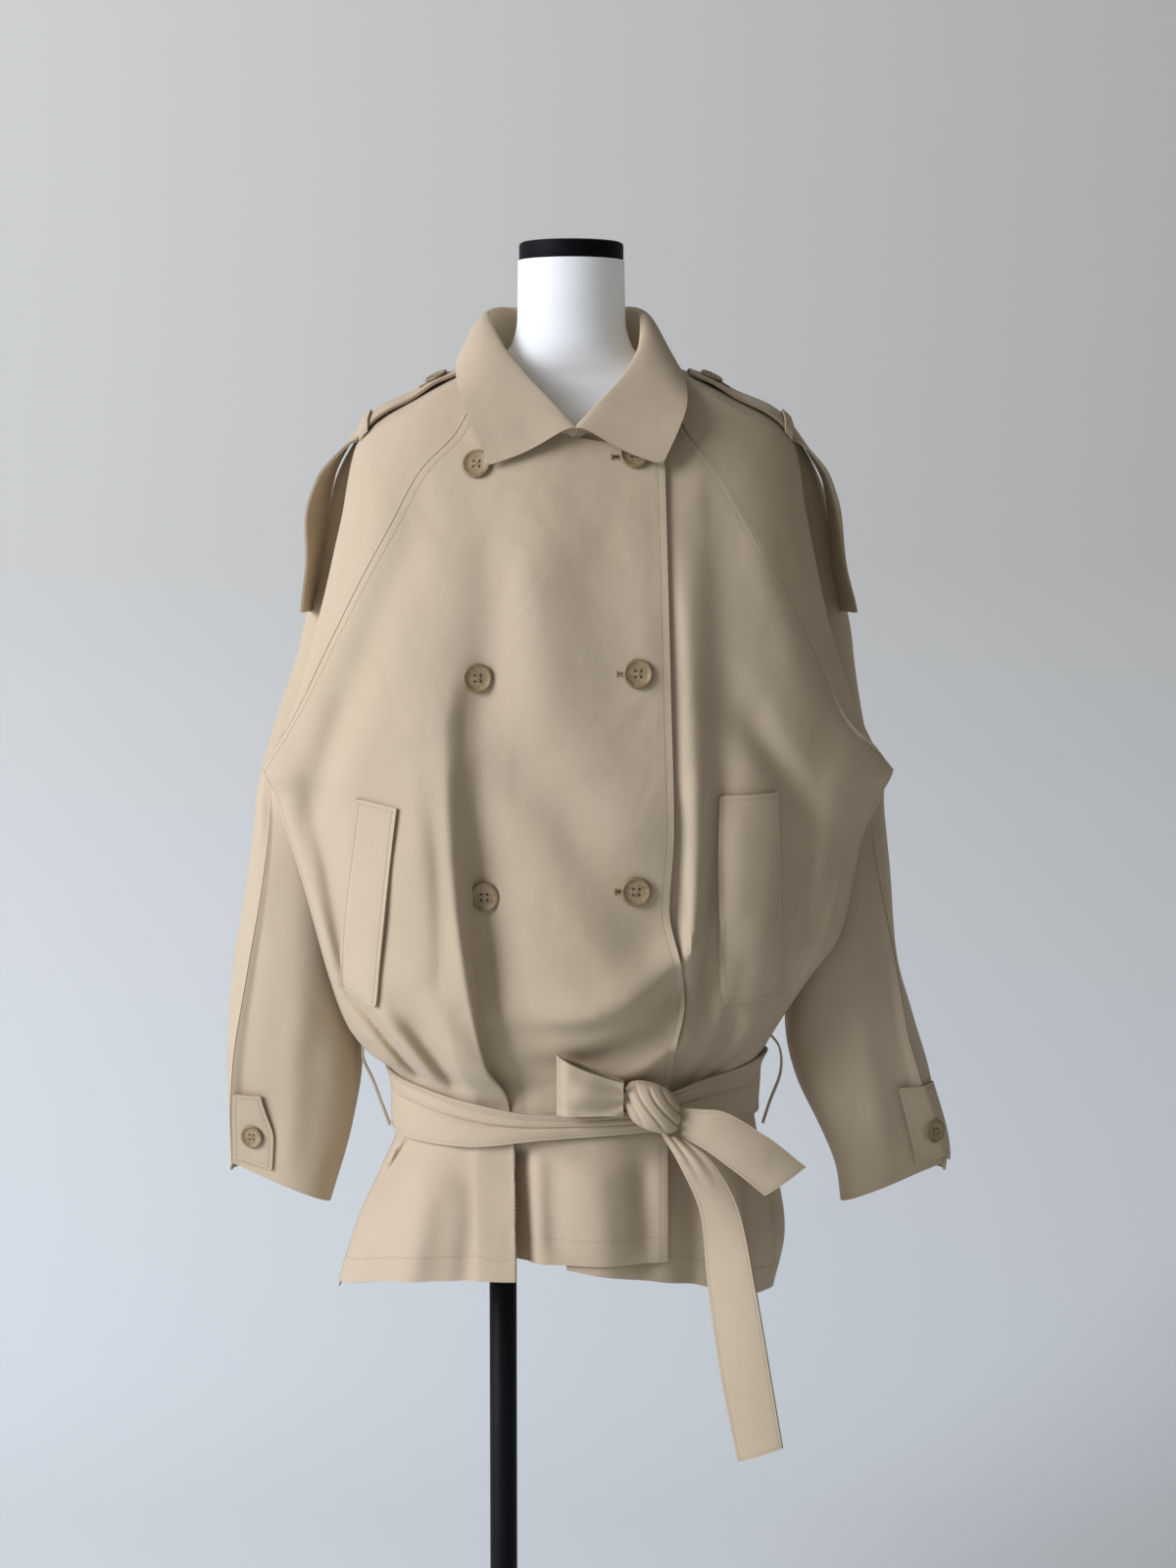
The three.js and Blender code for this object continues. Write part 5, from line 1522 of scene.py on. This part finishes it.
# The profiles of the neck cap, the pole and the base by radius and height
CAP = ((48.5, 1482.3), (49.6, 1482.6), (50, 1483.6), (50, 1496), (49.4, 1498), (47.5, 1499.2), (30, 1499.8),
       (1, 1500))
POLE = ((25.5, 10.3), (26, 10.8), (26, 15), (25, 16), (17, 19), (14.5, 24), (13.5, 32), (13.5, 610.8),
        (13, 611.4))
BASE = ((168, 0), (169.4, 0.6), (170, 2), (170, 6), (169.2, 8), (167, 9.4), (164, 10), (1, 10))


class COAT_OT_form(BuildStep, bpy.types.Operator):
    """Builds the dress form, its neck cap and its stand."""

    bl_idname = "coat.form"
    bl_label = "Form and stand"

    def build(self, context):
        z = np.r_[612, 613, 615, 618, np.linspace(622, 1481, 150), 1482][:, None]
        turn = np.linspace(0, 2 * np.pi, 128, endpoint=False)[None]
        c, s = np.cos(turn), np.sin(turn)
        full = FORM.full(z)
        depth = np.where(s < 0, FORM.front(z), FORM.back(z))
        p = xyz(FORM.wide(z) * np.sign(c) * np.abs(c) ** full, depth * np.sign(s) * np.abs(s) ** full, z)
        return [
            finish("form_shell", *capped(p), look().white, ["form_torso"], "white_shell", sharp=40),
            revolved("form_cap_gloss", CAP, 0, look().cap, ["form_cap"], "black_plastic"),
            revolved("stand_pole_steel", POLE, POLE_SHIFT, look().pole, ["stand_pole"], "black_steel"),
            revolved("stand_base_steel", BASE, 0, look().pole, ["stand_base"], "black_steel", 160),
        ]


class COAT_OT_stage(BuildStep, bpy.types.Operator):
    """Builds the floor, wall, lights and camera."""

    bl_idname = "coat.stage"
    bl_label = "Stage"

    def build(self, context):
        scene = context.scene
        sizes = scene.coat_stage
        paper = Nodes("paper")
        where = paper.place()
        height = paper.part(where, "Z")
        # Painted light: the paper is lighter and bluer at the floor and darker and warmer up the wall, to
        # even out the dimmer light low on the sweep
        paper.set(Base_Color=paper.tint(colour(226, 231, 231), colour(205, 203, 195), height * 0.9 - 0.05),
                  Roughness=0.95)
        paper.set(Normal=paper.bump(paper.noise(where, 5.0, 3.0), 0.002, 0.2))
        bend = np.radians(np.linspace(0, 90, 41))
        depth = np.r_[-SWEEP_HALF, SWEEP_DEPTH + SWEEP_BEND * np.sin(bend), SWEEP_DEPTH + SWEEP_BEND]
        rise = np.r_[0.0, SWEEP_BEND - SWEEP_BEND * np.cos(bend), SWEEP_TOP]
        clear = paper.tree.nodes.new("ShaderNodeBsdfTransparent")
        behind = paper.add("ShaderNodeNewGeometry", out="Backfacing")
        both = paper.tree.nodes.new("ShaderNodeMixShader")
        paper.put(both.inputs[0], behind)
        paper.tree.links.new(paper.shader.outputs[0], both.inputs[1])
        paper.tree.links.new(clear.outputs[0], both.inputs[2])
        paper.tree.links.new(both.outputs[0], paper.tree.nodes["Material Output"].inputs["Surface"])
        p = xyz(np.array([[-SWEEP_HALF], [SWEEP_HALF]]), depth, rise)
        k = np.arange(p.shape[1] - 1)
        sweep = bpy.data.meshes.new("sweep")
        sweep.from_pydata((p.reshape(-1, 3) * MM).tolist(), [],
                          np.c_[k, k + p.shape[1], k + p.shape[1] + 1, k + 1].tolist())
        sweep.polygons.foreach_set("use_smooth", np.ones(len(k), bool))
        sweep.materials.append(paper.material)
        ground = bpy.data.objects.new("sweep", sweep)
        scene.collection.objects.link(ground)
        ground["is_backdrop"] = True
        world = bpy.data.worlds.new("studio")
        scene.world = world
        world.use_nodes = True
        light = world.node_tree.nodes["Background"]
        light.inputs["Color"].default_value = (*sizes.sky, 1.0)
        light.inputs["Strength"].default_value = sizes.sky_strength
        lamp("window", WINDOW, WINDOW_TARGET, WINDOW_SIZE, sizes.key_power, WINDOW_TINT)
        scene.view_settings.view_transform = "Standard"
        camera = bpy.data.cameras.new("camera")
        camera.lens = LENS
        camera.sensor_width = 36.0
        camera.clip_start = 0.1
        eye = bpy.data.objects.new("camera", camera)
        eye.location = (EYE_SHIFT, -sizes.distance, EYE_HEIGHT)
        eye.rotation_euler = (math.radians(90 - EYE_TILT), 0, 0)
        scene.collection.objects.link(eye)
        scene.camera = eye
        return ground


def lamp(name, place, target, size, power, shade):
    """A square soft light that faces a target."""
    data = bpy.data.lights.new(name, "AREA")
    data.size = size
    data.energy = power
    data.color = shade
    light = bpy.data.objects.new(name, data)
    light.location = place
    way = np.array(target) - np.array(place)
    flat = math.hypot(way[0], way[1])
    light.rotation_euler = (math.atan2(flat, -way[2]), 0, math.atan2(way[1], way[0]) - math.pi / 2)
    bpy.context.scene.collection.objects.link(light)


STEPS = (COAT_OT_form, COAT_OT_back, COAT_OT_fronts, COAT_OT_sleeves, COAT_OT_collar, COAT_OT_welts,
         COAT_OT_belt, COAT_OT_straps, COAT_OT_buttons, COAT_OT_stage)


class COAT_PT_build(bpy.types.Panel):
    """Lists the build steps and their settings."""

    bl_idname = "COAT_PT_build"
    bl_label = "Trench coat"
    bl_space_type = "VIEW_3D"
    bl_region_type = "UI"
    bl_category = "Coat"

    def draw(self, context):
        layout = self.layout
        for group in (context.scene.coat_sizes, context.scene.coat_stage):
            for name in group.bl_rna.properties.keys():
                if name not in {"rna_type", "name"}:
                    layout.prop(group, name)
        for step in STEPS:
            layout.operator(step.bl_idname)


CLASSES = (CoatSizes, StageSizes, *STEPS, COAT_PT_build)


def register():
    """Adds the classes and the scene's settings."""
    for cls in CLASSES:
        bpy.utils.register_class(cls)
    bpy.types.Scene.coat_sizes = PointerProperty(type=CoatSizes)
    bpy.types.Scene.coat_stage = PointerProperty(type=StageSizes)


def unregister():
    """Takes the classes and the scene's settings away."""
    del bpy.types.Scene.coat_stage
    del bpy.types.Scene.coat_sizes
    for cls in reversed(CLASSES):
        bpy.utils.unregister_class(cls)


def main():
    register()
    for step in STEPS:
        area, name = step.bl_idname.split(".")
        getattr(getattr(bpy.ops, area), name)()
    visual_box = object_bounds()
    numbers = lambda box: [[float(v) for v in corner] for corner in box]
    {"cad": numbers(cad_box), "visual": numbers(visual_box)}


if __name__ == "__main__":
    main()
